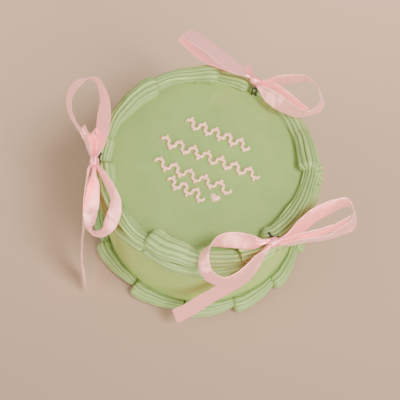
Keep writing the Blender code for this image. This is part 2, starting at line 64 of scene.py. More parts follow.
# Cake: its radius as the frame has it, its height, and how finely it is built
CAKE_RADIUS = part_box("cake_body")[1].x
CAKE_HEIGHT = 70.0 * MM
CAKE_SIDES = 288
CAKE_RINGS = 44             # rings down the side
CAKE_CIRCLES = 40           # circles on the top
CAKE_EDGE_RINGS = 8         # rings round the top edge
CAKE_FLOOR_RINGS = 6        # rings under the cake

# A piped rope: its course round the cake in degrees, the radius of its blunt start and of its
# tail in mm, how far its first millimetres swing out (or, below zero, in), and how its start is
# finished: "round", or "open" where the ridges end in loose petals
Rope = namedtuple("Rope", "start end head tail hook finish")

# How every rope is built, and how the hand that pipes it strays
PER_RIDGE = 8               # points across a ridge
NOSE_RINGS = 8              # rings of a blunt start
NOSE_LENGTH = 0.62          # length of a blunt start as a share of its radius
NOSE_SQUARE = 2.5           # 2 is a round start, more a squarer one
TIP_RINGS = 4               # rings of a closing tail
TIP_LENGTH = 0.8            # length of a closing tail as a share of its radius
RIDGE_WIDTHS = (0.65, 1.35)     # narrowest and widest ridge, before they share out the round
RIDGE_HEIGHTS = (0.62, 1.0)     # lowest and highest ridge as a share of the groove depth
UNDERSIDE = 0.86            # reach of the underside as a share of the radius
SIZE_DRIFT = 0.07           # share by which the radius comes and goes
OUT_DRIFT = 0.5             # mm that the middle line strays to its side
UP_DRIFT = 0.4              # mm that it strays up and down
TWIST_DRIFT = 0.45          # radians that the ridges turn to and fro
RIDGE_DRIFT = 0.5           # share by which a ridge comes and goes
OPEN_DEPTH = 1.8            # mm that an open start is hollow
PETAL_LENGTH = 1.6          # mm in which its petals die away
PETAL_SPREAD = 0.14         # share by which they spread
PETAL_REACH = 1.2           # mm that they reach out past the start

# Top border
TOP_ROPES = (
    Rope(-172.0, -113.0, 5.6, 4.0, 0.6, "round"),
    Rope(-118.0, -61.0, 6.9, 4.4, -0.6, "round"),
    Rope(-66.0, -43.0, 5.2, 4.4, 0.5, "open"),
    Rope(-51.0, 5.0, 6.4, 4.3, -3.4, "round"),
    Rope(1.0, 74.0, 6.3, 4.2, 0.6, "round"),
    Rope(69.0, 95.0, 5.0, 4.4, -1.5, "round"),
    Rope(90.0, 133.0, 5.8, 3.9, 0.4, "round"),
    Rope(127.0, 179.0, 6.8, 4.0, -0.4, "round"),
    Rope(174.0, 192.0, 5.2, 4.2, 0.4, "round"),
)
TOP_CIRCLE = 54.0           # radius of the ropes' middle line, in mm
TOP_INSET = 0.9             # a start sits this much nearer the axis, a tail as much farther
TOP_RIDGES = 11
ROPE_RISE = 2.0             # mm from the flat top up to a rope's middle line
LOW_RISE = 0.1              # the same where a bow lies close above
LOW_SPANS = ((28.0, 88.0), (-94.0, -48.0), (-168.0, -146.0))    # where that is, in degrees
LOW_EASE = 8.0              # degrees in which a rope comes up again
NOSE_LIFT = 1.3             # mm that a start rides up on the tail before it
TAIL_SINK = 1.2             # mm that a tail sinks
NOSE_COURSE = 9.0           # mm in which the lift and the swing of a start die away

# Side swags: where the pairs of thin ropes are caught up, in degrees. Each rope of a pair has its
# radius, its height at the posts, its sag and how far it stands off the side, in mm, then its
# ridges, their groove depth, and its broad and fine unevenness over the set one.
SWAG_POSTS = (-172.0, -117.0, -63.0, -47.0, 0.0, 68.0, 129.0)
SWAG_SWELL = (0.0, 0.0, 0.0, 0.3, 1.5, 0.6, 0.2)    # mm that each place stands further out
SWAG_FULL_SPAN = 45.0       # degrees from which a pair sags in full
SWAG_ENDS = 0.86            # a rope's radius at its ends over the radius in its middle
Swag = namedtuple("Swag", "name radius top sag stand_off ridges groove broad fine")
SWAGS = (
    Swag("upper_swags", 3.1, 68.0, 5.2, 0.7, 6, 0.14, 0.9, 0.5),
    Swag("lower_swags", 1.9, 65.6, 10.8, 0.9, 5, 0.16, 1.5, 2.2),
)

# Base border: where the teardrops start, in degrees, and their shape in mm
BASE_STARTS = (-154.0, -123.0, -93.0, -66.0, -41.0, -17.0, 10.5, 38.5, 66.5, 94.5, 122.5, 150.5,
               178.5)
BASE_HEAD = 6.1
BASE_TAIL = 2.8
BASE_START_CIRCLE = 60.4
BASE_TAIL_CIRCLE = 58.8
BASE_CENTRE_HEIGHT = 4.4
BASE_HOOK = -0.4            # how far the first millimetres swing out
BASE_NOSE_COURSE = 8.0      # mm in which that swing dies away
BASE_BELLY = 0.4            # mm that a drop's fullest part stands further out
BASE_RIDGES = 9
BASE_GROOVE = 0.8           # share of the top ropes' groove depth
BASE_TUCK = 3.0             # degrees that a drop runs on under the next one

# Motif on the top: the ends of each tilted row in mm, its stems and buds, and the heart
MOTIF_ROWS = (((-13.4, 23.1), (21.2, 11.9)),
              ((-25.3, 10.4), (27.8, -4.5)),
              ((-27.2, -3.1), (14.0, -14.5)),
              ((-19.1, -13.1), (0.6, -20.9)))
STEM_STEPS = 16.0           # steps of a stem's line in one wave
STEM_SIDES = 12
STEM_SWINGS = (0.6, 0.8)    # least swing of a bend over the set one, and how much more it can be
STEM_SIZES = (0.72, 0.56)   # the same for the thread's radius
BUD_OUT = 1.05              # bud radii from a bend's crest to its bud's middle
BUD_SIZES = (0.8, 1.15)     # smallest and largest bud over the set radius
BUD_HEIGHT = 0.9            # height of a bud over its width
HEART_PLACE = (6.2, -19.5)
HEART_TURN = -20.0          # degrees
HEART_DOME = 1.15 * MM
HEART_SINK = 0.6 * MM       # how deep its rim goes into the icing
HEART_RINGS = 6
HEART_SIDES = 48

# Loose bits of icing: azimuth in degrees, radius and height in mm of the foot, then how far the
# tip lies out, round and up from it, and the foot's radius
PEAKS = (
    (3.4, 58.6, 72.6, 2.5, 0.9, 1.6, 2.0), (1.0, 59.2, 71.8, 2.9, 0.3, 1.2, 2.1),
    (-1.4, 59.4, 71.0, 2.8, -0.8, 0.6, 1.9), (-3.4, 59.2, 70.0, 2.3, -0.6, -0.4, 1.8),
    (2.0, 57.4, 74.0, 1.3, 0.7, 1.4, 1.6), (-0.6, 57.6, 73.4, 1.5, -0.4, 1.2, 1.7),
    (92.0, 56.5, 73.5, 1.8, 0.4, 2.0, 1.3), (95.0, 57.5, 72.0, 2.0, 1.2, 0.8, 1.1),
    (98.0, 50.4, 71.0, -1.6, 0.6, -0.2, 1.5), (102.0, 50.0, 70.8, -1.0, 1.2, -0.3, 1.4),
    (-48.0, 57.0, 68.0, 1.6, 1.0, -1.6, 1.3), (-62.0, 57.2, 67.5, 1.4, 1.6, -1.2, 1.2),
    (-64.5, 57.4, 70.0, 2.0, 1.0, 0.6, 1.4), (-45.5, 57.6, 66.0, 1.4, 0.8, -1.0, 1.1),
    (-117.0, 57.4, 67.0, 1.3, -0.8, -1.4, 1.3), (-119.5, 57.2, 66.4, 1.0, -1.4, -0.6, 1.0),
)
PEAK_RINGS = 6
PEAK_SIDES = 12
PEAK_LOBES = 0.16           # share by which its three lobes stand out
PEAK_BLUNT = 0.15           # mm radius left at its tip

# Satin ribbon routes in mm. Each station is x, y, z of the ribbon's middle, then the heading and
# the rise, in degrees, of the line from its lower rim to its upper rim.
FRONT_KNOT = (37.4, -44.0, 79.5)
BACK_KNOT = (20.8, 48.2, 79.5)
LEFT_KNOT = (-57.2, -11.6, 78.7)
FRONT_LEFT_LOOP = (
    (35.5, -43.5, 79.5, 60, 70), (29.5, -46, 80.5, 70, 68), (23, -46, 81, 86, 57),
    (15, -46.5, 81.5, 105, 60), (9, -48.5, 81.5, 150, 80), (5, -52, 81, -55, 65),
    (4, -57, 80, -14, 58), (5.5, -62.5, 78, 10, 62), (9.5, -65.5, 76.5, 42, 74),
    (15, -66.2, 75.5, 80, 80), (20.5, -63.8, 75.3, 122, 76), (25.5, -59.3, 75.8, 145, 73),
    (30, -53.5, 76.7, 165, 74), (34.2, -48, 78.2, -160, 78), (36.4, -45.2, 79.2, -150, 78))
FRONT_RIGHT_LOOP = (
    (39, -43.5, 79.5, -172, 77), (45, -39.5, 80, 160, 74), (51, -33.5, 81, 140, 58),
    (57, -27, 81, 128, 59), (65, -21.5, 80.5, 113, 67), (71, -18.5, 80, 66, 76),
    (76, -20, 79, -104, 62), (77.5, -24, 78, -151, 65), (76.5, -28.5, 77, 162, 66),
    (71, -32.5, 76.5, 144, 79), (64, -36.5, 76, -85, 85), (55, -39.5, 76.5, -49, 82),
    (46.5, -42.5, 77.5, -22, 83), (39.4, -44.6, 78.6, -53, 80))
FRONT_LONG_TAIL = (
    (36.6, -44.7, 79.3, -144, 62), (34.6, -46.6, 77.6, -144, 50), (31.5, -50, 73, -155, 45),
    (27.5, -55.5, 66, -170, 36), (22.5, -58.5, 57, 172, 29), (15.5, -61, 46, 172, 32),
    (7.5, -63.5, 34, 169, 32), (0.5, -66.5, 24, 161, 34), (-7.5, -69.5, 16, 155, 37))
FRONT_SHORT_TAIL = (
    (39.6, -43.2, 79.5, -160, 78), (46.7, -40.7, 79.9, -162, 80), (53.7, -38.8, 80.6, 127, 84),
    (61, -35.7, 80.2, 84, 83), (67.3, -32, 79.8, 68, 85), (73, -28.2, 79.4, 99, 81))
BACK_LEFT_LOOP = (
    (18.2, 49.6, 80.3, -110, 47), (10.5, 52, 82.5, -106, 25), (3, 56, 84, -122, 14),
    (-5.5, 62, 84.5, -124, 16), (-13.5, 67, 84.5, -122, 16), (-18.5, 70.3, 83, -122, 14),
    (-21, 72, 80.3, -122, 13), (-18.5, 70, 77.5, -121, 14), (-8, 62.5, 76, -118, 17),
    (0, 59, 76.5, -116, 17), (9.5, 55, 77.5, -118, 27), (16.5, 51.8, 78.3, -121, 38),
    (19.6, 49.5, 79.2, -121, 50))
BACK_RIGHT_LOOP = (
    (22, 48, 79.5, -154, 79), (27.5, 47.5, 80.5, -178, 80), (34, 49, 81.5, 175, 83),
    (40, 50.5, 82, -127, 87), (46, 51.5, 82, -88, 80), (51, 50.5, 82, -113, 64),
    (55, 46.5, 81.5, -134, 66), (57, 41, 81, -163, 65), (56.5, 36.5, 81, 156, 75),
    (53.5, 33, 81, 10, 84), (49, 30.5, 81, -77, 80), (44, 30.5, 81, 80, 86), (38.5, 33, 81, 63, 74),
    (33, 36, 81, 64, 64), (28, 39.5, 80.5, 76, 69), (23.4, 44, 79.8, 120, 78),
    (21.4, 47, 79.5, 141, 80))
BACK_RIGHT_TAIL = (
    (23, 47, 79, -60, 80), (28, 45.6, 79.5, 49, 80), (33, 42.8, 80, 49, 75),
    (38.5, 38.8, 80, 38, 72), (43.5, 35, 79.8, 30, 73), (47.5, 32.6, 79.2, 30, 76))
BACK_LEFT_TAIL = (
    (19.4, 49.6, 79.2, -40, 55), (16.8, 52.6, 79.5, -20, 30), (12.7, 58.3, 77.7, 0, 10),
    (10, 61.9, 70.4, 0, 0), (9, 63, 57, 0, 0), (8, 64.5, 38, 0, 0), (7, 69, 20, 0, 0))
LEFT_UPPER_LOOP = (
    (-57.5, -9, 79, -53, 58), (-56, -4.5, 79.5, -29, 50), (-55.5, 2, 81, -8, 44),
    (-56, 10, 81, 3, 37), (-57, 19, 81, 12, 43), (-59, 27, 80.5, 30, 66), (-62.5, 33.5, 80, 90, 81),
    (-67, 36.5, 79, -122, 61), (-72.5, 35.5, 78, -68, 40), (-76, 31, 77, -29, 47),
    (-76.8, 24, 76.2, -6, 63), (-75, 17.5, 75.8, 13, 79), (-71.9, 12, 75.8, 97, 88),
    (-68.2, 7, 76.2, 149, 84), (-64.6, 2, 77, 94, 82), (-61.2, -3.6, 77.8, 52, 75),
    (-58.8, -8.6, 78.3, 62, 76), (-57.9, -11, 78.6, 75, 80))
LEFT_LOWER_LOOP = (
    (-56, -13, 79, 99, 84), (-52, -18.5, 80.5, 76, 77), (-48, -24, 81, 44, 75),
    (-45, -28.5, 81, 15, 69), (-43, -33, 80, -14, 50), (-43, -38, 77.5, -34, 28),
    (-44.5, -41.5, 73.5, -49, 15), (-47.5, -44.5, 70, -78, 20), (-51.5, -45.3, 67.3, -125, 48),
    (-55, -43.3, 67, 1, 70), (-56.1, -37.5, 69, -7, 37), (-55.9, -31.5, 71, -9, 29),
    (-56.2, -24.5, 74, -15, 38), (-56.7, -18.5, 76.5, -27, 49), (-57.0, -14, 78.5, -44, 57))
LEFT_LONG_TAIL = (
    (-57.8, -12.6, 78.3, -108, 66), (-59.5, -14.6, 77.1, -91, 53), (-60, -19.5, 73, -87, 54),
    (-60.2, -26.5, 68.5, -87, 53), (-59.6, -36.5, 60, -90, 37), (-60.5, -42, 48, -90, 21),
    (-61.5, -45.5, 36, -85, 15), (-61.5, -49.5, 21, -80, 14), (-60.5, -53, 5.5, -77, 13))
LEFT_SHORT_TAIL = (
    (-57.8, -10.6, 78.4, 10, 66), (-58.3, -6.8, 78, 2, 52), (-59.4, -2, 78.2, -25, 47),
    (-61.7, 2.8, 78, -42, 42), (-63, 6.2, 76, -52, 36), (-63.8, 7.6, 71, -58, 31),
    (-63.4, 7.4, 63, -62, 25), (-63.8, 7, 54, -64, 22))

# A strip of ribbon: its route, and how far its end's upper rim runs on past the lower one, in mm
Strip = namedtuple("Strip", "name route slant")
# A bow: its knot, its strips, and where the two legs of its pin go down, in mm
Bow = namedtuple("Bow", "side knot strips legs")
BOWS = (
    Bow("front", FRONT_KNOT,
        (Strip("left_loop", FRONT_LEFT_LOOP, 0.0), Strip("right_loop", FRONT_RIGHT_LOOP, 0.0),
         Strip("long_tail", FRONT_LONG_TAIL, -5.0), Strip("short_tail", FRONT_SHORT_TAIL, 5.0)),
        ((34.9, -37.8), (39.7, -39.2))),
    Bow("back", BACK_KNOT,
        (Strip("left_loop", BACK_LEFT_LOOP, 0.0), Strip("right_loop", BACK_RIGHT_LOOP, 0.0),
         Strip("right_tail", BACK_RIGHT_TAIL, 4.0), Strip("left_tail", BACK_LEFT_TAIL, 4.0)),
        ((19.9, 45.4), (22.0, 45.1))),
    Bow("left", LEFT_KNOT,
        (Strip("upper_loop", LEFT_UPPER_LOOP, 0.0), Strip("lower_loop", LEFT_LOWER_LOOP, 0.0),
         Strip("long_tail", LEFT_LONG_TAIL, 3.0), Strip("short_tail", LEFT_SHORT_TAIL, 4.0)),
        ((-54.9, -5.2), (-55.1, -9.0))),
)
RIBBON_PINCH = 0.36         # share of the width left where the knot gathers it
RIBBON_GATHER = 2.0         # mm from the knot's middle in which it is gathered tight
RIBBON_SPREAD = 12.0        # mm from the knot's middle to the full width
RIBBON_STEP = 0.7           # mm between rings of a strip
RIBBON_ACROSS = 14          # faces across a strip
RIBBON_PLEATS = 2.5         # waves across the gathered end
RIBBON_PLEAT_DEPTH = 0.65   # mm
RIBBON_CUP = 0.25           # mm that the middle of a strip stands proud of its rims
RIBBON_RIPPLE = 0.3         # mm that its surface ripples
ROUTE_SAMPLES = 40          # points between two stations when a route's length is measured
KNOT_SIZE = (2.7, 2.5, 2.5)  # half the length along the bow, then across, in mm
KNOT_SIDES = 40
KNOT_RINGS = 26
KNOT_CREASE = 0.17          # height of its creases as a share of its half width
PIN_TOP = 76.8              # mm
PIN_REACH = 4.0             # mm from a pin's crown to the knot's middle
PIN_FOOT = 68.5             # mm, inside the icing
PIN_POINTS = 8              # points of the wire between two of its stations

# Buttercream in the light: its shine, and how red, green and blue scatter in it
BUTTERCREAM = {"Specular IOR Level": 0.35, "Subsurface Weight": 0.12,
               "Subsurface Radius": (1.0, 0.9, 0.5)}
SIDE_LIGHT_FADE = (0.050, 0.069)  # heights in metres between which the side's painted light ends

# A faint scratch in the smoothed top, in metres: x times the first less y times the second plus
# the third is nought along it
SCRATCH_LINE = (0.924, 0.382, 0.01576)
SCRATCH_HALF_WIDTH = 0.4 * MM
SCRATCH_ENDS = ((0.029, 0.033), (0.043, 0.047))     # y where it fades in, and where it fades out
SCRATCH_FADE = (0.068, 0.069)   # heights between which it comes in, so only the top has it

# Weave of the satin, across its width
RIB_PITCH = 0.45 * MM       # between two ribs of the woven rim
THREADS_ACROSS = 46.0       # threads in the width
WOVEN_RIM = (0.455, 0.475)  # where the rim begins, as a share of the width from the middle

# Stage: where the floor's painted light grows stronger, as y in metres, then each light's name, the
# setting with its power, its place and side in metres, and its colour
FLOOR_LIGHT_FADE = (-0.30, 0.34)
LIGHTS = (
    ("key_light", "key_power", (0.60, -0.35, 1.20), 0.45, (1.0, 0.98, 0.95)),
    ("left_light", "left_power", (-1.05, -0.50, 0.50), 1.0, (1.0, 0.98, 0.95)),
    ("front_light", "front_power", (0.72, -1.0, 0.50), 1.0, (1.0, 0.96, 0.91)),
)

# Camera, as the photograph was taken: 65.6 degrees down on the cake, turned a little
EYE = (-1.31 * MM, -192.32 * MM, 445.74 * MM)
CAMERA_ELEVATION = 65.59
CAMERA_ROLL = 6.94
FOCAL_LENGTH = 72.0


def length_input(name, text, default, low=0.0):
    return FloatProperty(name=name, description=text, default=default, min=low,
                         subtype="DISTANCE", unit="LENGTH")


def colour_input(name, text, default):
    return FloatVectorProperty(name=name, description=text, default=default, size=3,
                               min=0.0, max=1.0, subtype="COLOR")


def power_input(name, text, default):
    return FloatProperty(name=name, description=text, default=default, min=0.0,
                         subtype="POWER", unit="POWER")


class CakeSettings(bpy.types.PropertyGroup):
    """The frosted cake and the motif on it."""

    edge_radius: length_input("Edge Radius", "Rounding of the top edge", 2.5 * MM)
    unevenness: length_input("Unevenness", "How far the smoothed icing wanders", 0.35 * MM)
    icing: colour_input("Icing", "Colour of the smoothed icing", (0.25, 0.345, 0.092))
    motif: colour_input("Motif", "Colour of the piped motif", (1.0, 0.53, 0.36))
    thread: length_input("Motif Thread", "Radius of the motif's thread", 0.85 * MM)
    wave: length_input("Motif Wave", "Length of one wave of the motif's stems", 8.0 * MM, MM)
    swing: length_input("Motif Swing", "How far a stem swings to each side", 1.9 * MM)
    lean: length_input("Motif Lean", "How far the bends bulge along a stem", -0.75 * MM, -10 * MM)
    bud: length_input("Motif Bud", "Radius of the buds at a stem's bends", 0.95 * MM)
    heart_width: length_input("Heart Width", "Width of the piped heart", 5.6 * MM)


class PipingSettings(bpy.types.PropertyGroup):
    """The piped borders and swags."""

    colour: colour_input("Piping", "Colour of the piped icing", (0.275, 0.375, 0.105))
    groove: FloatProperty(name="Groove Depth", default=0.32, min=0.0, max=0.6, subtype="FACTOR",
                          description="Depth of the grooves as a share of the radius")
    step: length_input("Ring Step", "Distance between the rings of a rope", 0.62 * MM, 0.2 * MM)
    unevenness: length_input("Unevenness", "How far the piped icing wanders", 0.5 * MM)


class RibbonSettings(bpy.types.PropertyGroup):
    """The satin bows and their pins."""

    width: length_input("Width", "Width of the ribbon", 9.5 * MM, MM)
    thickness: length_input("Thickness", "Thickness of the ribbon", 0.25 * MM)
    satin: colour_input("Satin", "Colour of the ribbon", (0.97, 0.39, 0.35))
    wire: colour_input("Wire", "Colour of the pins", (0.012, 0.010, 0.010))
    pin_radius: length_input("Pin Radius", "Radius of the pins' wire", 0.6 * MM)


class StageSettings(bpy.types.PropertyGroup):
    """The floor and the studio light."""

    floor: colour_input("Floor", "Colour of the floor", (0.455, 0.303, 0.200))
    floor_size: length_input("Floor Size", "Side of the square floor", 4.0, 0.1)
    key_power: power_input("Key Light", "Power of the high light", 27.0)
    left_power: power_input("Left Light", "Power of the low light on the left", 15.0)
    front_power: power_input("Front Light", "Power of the low light in front", 20.0)
    sky: FloatProperty(name="Ambient", description="Strength of the even light from all round",
                       default=0.62, min=0.0)


class BentoCakeSettings(bpy.types.PropertyGroup):
    """All sizes and colours of the cake."""

    cake: PointerProperty(type=CakeSettings)
    piping: PointerProperty(type=PipingSettings)
    ribbon: PointerProperty(type=RibbonSettings)
    stage: PointerProperty(type=StageSettings)


def arithmetic(operation, swapped=False):
    """A method that adds a Math node; swapped puts the value itself second."""
    def act(value, other=0.0):
        first, second = (other, value) if swapped else (value, other)
        return value.tree.node("ShaderNodeMath", {"operation": operation}, {0: first, 1: second})

    return act


class Value:
    """An output of a node tree; arithmetic on it adds the Math nodes."""

    def __init__(self, tree, socket):
        self.tree = tree
        self.socket = socket

    __add__ = arithmetic("ADD")
    __radd__ = arithmetic("ADD", swapped=True)
    __sub__ = arithmetic("SUBTRACT")
    __rsub__ = arithmetic("SUBTRACT", swapped=True)
    __mul__ = arithmetic("MULTIPLY")
    __rmul__ = arithmetic("MULTIPLY", swapped=True)
    __truediv__ = arithmetic("DIVIDE")
    __rtruediv__ = arithmetic("DIVIDE", swapped=True)
    __mod__ = arithmetic("FLOORED_MODULO")
    sine = arithmetic("SINE")
    absolute = arithmetic("ABSOLUTE")

    def between(self, low, high):
        """Nought below low, one above high, and a smooth rise between them."""
        return self.tree.node("ShaderNodeMapRange", {"interpolation_type": "SMOOTHSTEP"},
                              {0: self, 1: low, 2: high, 3: 0.0, 4: 1.0})


class Tree:
    """A node tree in the making, for a finish or for a shape."""

    def __init__(self, tree):
        self.tree = tree

    def node(self, kind, settings, sockets, output=0):
        """A node of that type with its settings and then its sockets' values or links."""
        node = self.tree.nodes.new(kind)
        for name, value in settings.items():
            setattr(node, name, value)
        for key, value in sockets.items():
            self.feed(node.inputs[key], value)
        return Value(self, node.outputs[output])

    def feed(self, socket, value):
        if isinstance(value, Value):
            self.tree.links.new(value.socket, socket)
        else:
            socket.default_value = value

    def vector(self, operation, first, second):
        """A vector from two vectors; for SCALE the second is a number."""
        key = 3 if operation == "SCALE" else 1
        return self.node("ShaderNodeVectorMath", {"operation": operation}, {0: first, key: second})

    def combine(self, x, y, z):
        return self.node("ShaderNodeCombineXYZ", {}, {0: x, 1: y, 2: z})

    def noise(self, place, scale, detail=2.0):
        return self.node("ShaderNodeTexNoise", {},
                         {"Vector": place, "Scale": scale, "Detail": detail})


class Finish(Tree):
    """A material in the making, on a Principled shader."""

    def __init__(self, name, constants):
        self.material = bpy.data.materials.new(name)
        self.material.use_nodes = True
        super().__init__(self.material.node_tree)
        self.shader = self.tree.nodes["Principled BSDF"]
        for socket, value in constants.items():
            self.shader.inputs[socket].default_value = value

    def place(self):
        """The point on the piece, in metres, in the frame that all pieces share."""
        return self.node("ShaderNodeTexCoord", {}, {}, output=3)

    def axes(self, vector):
        parts = self.tree.nodes.new("ShaderNodeSeparateXYZ")
        self.feed(parts.inputs[0], vector)
        return [Value(self, output) for output in parts.outputs]

    def mix(self, share, first, second):
        """A colour between two colours."""
        return self.node("ShaderNodeMix", {"data_type": "RGBA"}, {0: share, 6: first, 7: second},
                         output=2)

    def shade(self, colour, share):
        """A colour made lighter or darker by a varying share."""
        grey = self.combine(share, share, share)
        return self.vector("MULTIPLY", colour, grey)

    def attribute(self, name):
        """A number that the piece's points carry."""
        return self.node("ShaderNodeAttribute", {"attribute_name": name}, {}, output=2)

    def bump(self, height, distance):
        return self.node("ShaderNodeBump", {},
                         {"Height": height, "Distance": distance, "Strength": 1.0})

    def wear(self, socket, value):
        self.feed(self.shader.inputs[socket], value)


def tinted(colour, *shares):
    """A colour with its channels scaled, by one share or by one each."""
    shares = shares * 3 if len(shares) == 1 else shares
    return (*(channel * share for channel, share in zip(colour, shares)), 1.0)


def smoothed_icing(settings):
    """Smoothed buttercream: soft mottling, pin-prick pores and a few strokes of the spatula; painted
    light makes its side lighter and warmer than its top.
    """
    finish = Finish("smoothed_icing", {**BUTTERCREAM, "Subsurface Scale": 0.004})
    place = finish.place()
    x, y, z = finish.axes(place)
    broad = finish.noise(place, 35.0)
    small = finish.noise(place, 260.0, 3.0)
    # Painted light: the side is painted lighter and warmer than the top, as if light were thrown up
    # onto it.
    side = 1.0 - z.between(*SIDE_LIGHT_FADE)
    tint = finish.mix(side, tinted(settings.icing, 1.0), tinted(settings.icing, 1.38, 1.30, 1.22))
    leaf = finish.vector("MULTIPLY", tint, (0.90, 1.0, 0.94))
    patches = finish.noise(place, 120.0).between(0.35, 0.65)
    tint = finish.mix(patches, tint, leaf)
    streaks = finish.noise(finish.combine(x, y, z * 4.0), 70.0, 3.0)
    tint = finish.shade(tint, 0.80 + 0.20 * broad + 0.10 * small + 0.12 * streaks)
    pores = finish.node("ShaderNodeTexVoronoi", {"feature": "F1"},
                        {"Vector": place, "Scale": 420.0, "Randomness": 1.0})
    pore = 1.0 - pores.between(0.05, 0.24)
    rare = finish.noise(place, 90.0, 1.0).between(0.60, 0.70)
    strokes = finish.noise(finish.combine(x * 0.35 + y, z, x * 0.02), 900.0)
    across_x, across_y, offset = SCRATCH_LINE
    off_line = x * across_x - y * across_y + offset
    near_end, far_end = SCRATCH_ENDS
    scratch = ((1.0 - (off_line * off_line).between(0.0, SCRATCH_HALF_WIDTH ** 2))
               * y.between(*near_end) * (1.0 - y.between(*far_end)) * z.between(*SCRATCH_FADE))
    finish.wear("Base Color", finish.shade(tint, 1.0 + 0.16 * scratch))
    finish.wear("Roughness", 0.46 + 0.14 * small)
    relief = 0.6 * small + 0.25 * strokes - 1.4 * pore * rare - 0.6 * scratch
    finish.wear("Normal", finish.bump(relief, 0.12 * MM))
    return finish.material


def piped_icing(settings):
    """Piped buttercream: painted highlight on its ridges and painted shade in its grooves, with a
    fine torn grain along them.
    """
    finish = Finish("piped_icing", {**BUTTERCREAM, "Subsurface Scale": 0.003})
    place = finish.place()
    broad = finish.noise(place, 60.0)
    small = finish.noise(place, 500.0, 3.0)
    # Painted shade and light: grooves painted darker and crests paler by the crest share.
    tint = finish.mix(finish.attribute("crest"), tinted(settings.colour, 0.60, 0.66, 0.85),
                      tinted(settings.colour, 1.22))
    finish.wear("Base Color", finish.shade(tint, 0.93 + 0.10 * broad + 0.04 * small))
    finish.wear("Roughness", 0.44 + 0.16 * small)
    finish.wear("Normal", finish.bump(0.7 * small + 0.3 * broad, 0.15 * MM))
    return finish.material


def motif_icing(settings):
    """Stiff pink icing with a slight gloss."""
    finish = Finish("motif_icing", {"Specular IOR Level": 0.45, "Subsurface Weight": 0.1,
                                    "Subsurface Scale": 0.002})
    small = finish.noise(finish.place(), 700.0)
    finish.wear("Base Color", finish.shade(tuple(settings.motif), 0.94 + 0.12 * small))
    finish.wear("Roughness", 0.32 + 0.14 * small)
    finish.wear("Normal", finish.bump(small, 0.1 * MM))
    return finish.material


def satin(settings):
    """Woven satin: fine threads, a tight woven rim and a soft uneven gloss; painted shade deepens its
    gathered folds, and it glows faintly with painted light.
    """
    colour = settings.satin
    finish = Finish("pink_satin", {"Specular IOR Level": 1.0, "Metallic": 0.75, "Anisotropic": 0.5,
                                   "Sheen Weight": 0.15, "Sheen Roughness": 0.4,
                                   "Coat Roughness": 0.18, "Coat Weight": 0.5,
                                   "Emission Strength": 0.80})
    along, across, _ = finish.axes(finish.node("ShaderNodeUVMap", {"uv_map": "cloth"}, {}))
    rim = (across - 0.5).absolute().between(*WOVEN_RIM)
    ribs = (along * 2.0 * math.pi / RIB_PITCH).sine()
    threads = (across * 2.0 * math.pi * THREADS_ACROSS).sine()
    over = across * settings.width
    slubs = finish.noise(finish.combine(along * 0.25, over, 0.0), 1800.0)
    cloud = finish.noise(finish.combine(along, over, 0.0), 120.0, 1.0)
    tint = finish.mix(rim * 0.35, tinted(colour, 1.0), tinted(colour, 0.86))
    # Painted shade: a deeper, darker pink in the gathered folds by the knot.
    tint = finish.mix(finish.attribute("drawn"), tint, tinted(colour, 0.84, 0.52, 0.62))
    tint = finish.shade(tint, 0.95 + 0.05 * slubs + 0.04 * cloud)
    finish.wear("Base Color", tint)
    # Painted light: the satin glows in its own colour, as if lit through the thin cloth.
    finish.wear("Emission Color", tint)
    finish.wear("Roughness", 0.17 + 0.08 * slubs + 0.15 * rim)
    relief = 0.35 * threads + 0.5 * slubs + rim * (0.8 + 0.6 * ribs)
    finish.wear("Normal", finish.bump(relief, 0.03 * MM))
    return finish.material


def coated_wire(settings):
    """Glossy black coated wire."""
    finish = Finish("coated_wire", {"Specular IOR Level": 0.6, "Coat Weight": 0.6,
                                    "Coat Roughness": 0.08})
    scuffs = finish.noise(finish.place(), 1500.0)
    finish.wear("Base Color", finish.mix(scuffs.between(0.55, 0.8), tinted(settings.wire, 1.0),
                                         (0.04, 0.035, 0.035, 1.0)))
    finish.wear("Roughness", 0.16 + 0.12 * scuffs)
    return finish.material


def plain_floor(settings):
    """A pale matt floor, painted lighter towards the back: painted light that falls off towards the
    front.
    """
    finish = Finish("plain_floor", {"Specular IOR Level": 0.15, "Roughness": 0.85})
    place = finish.place()
    _, y, _ = finish.axes(place)
    # Painted light: brighter towards the back, darker towards the front.
    shade = 0.54 + 0.82 * y.between(*FLOOR_LIGHT_FADE) + 0.03 * finish.noise(place, 3.0)
    finish.wear("Base Color", finish.shade(tuple(settings.floor), shade))
    return finish.material


def shape_tree(name, numbers):
    """A Geometry Nodes group with a finish and named number inputs; returns it and its inputs."""
    group = bpy.data.node_groups.new(name, "GeometryNodeTree")
    sockets = group.interface
    sockets.new_socket("Geometry", in_out="INPUT", socket_type="NodeSocketGeometry")
    sockets.new_socket("Finish", in_out="INPUT", socket_type="NodeSocketMaterial")
    for number in numbers:
        sockets.new_socket(number, in_out="INPUT", socket_type="NodeSocketFloat")
    sockets.new_socket("Geometry", in_out="OUTPUT", socket_type="NodeSocketGeometry")
    tree = Tree(group)
    entry = group.nodes.new("NodeGroupInput")
    inputs = {output.name: Value(tree, output) for output in entry.outputs if output.name}
    return tree, inputs


def close_tree(tree, inputs, geometry):
    """Ends a shape tree: instances made real, finish set."""
    real = tree.node("GeometryNodeRealizeInstances", {}, {0: geometry})
    dressed = tree.node("GeometryNodeSetMaterial", {},
                        {"Geometry": real, "Material": inputs["Finish"]})
    leave = tree.tree.nodes.new("NodeGroupOutput")
    tree.feed(leave.inputs[0], dressed)
    return tree.tree


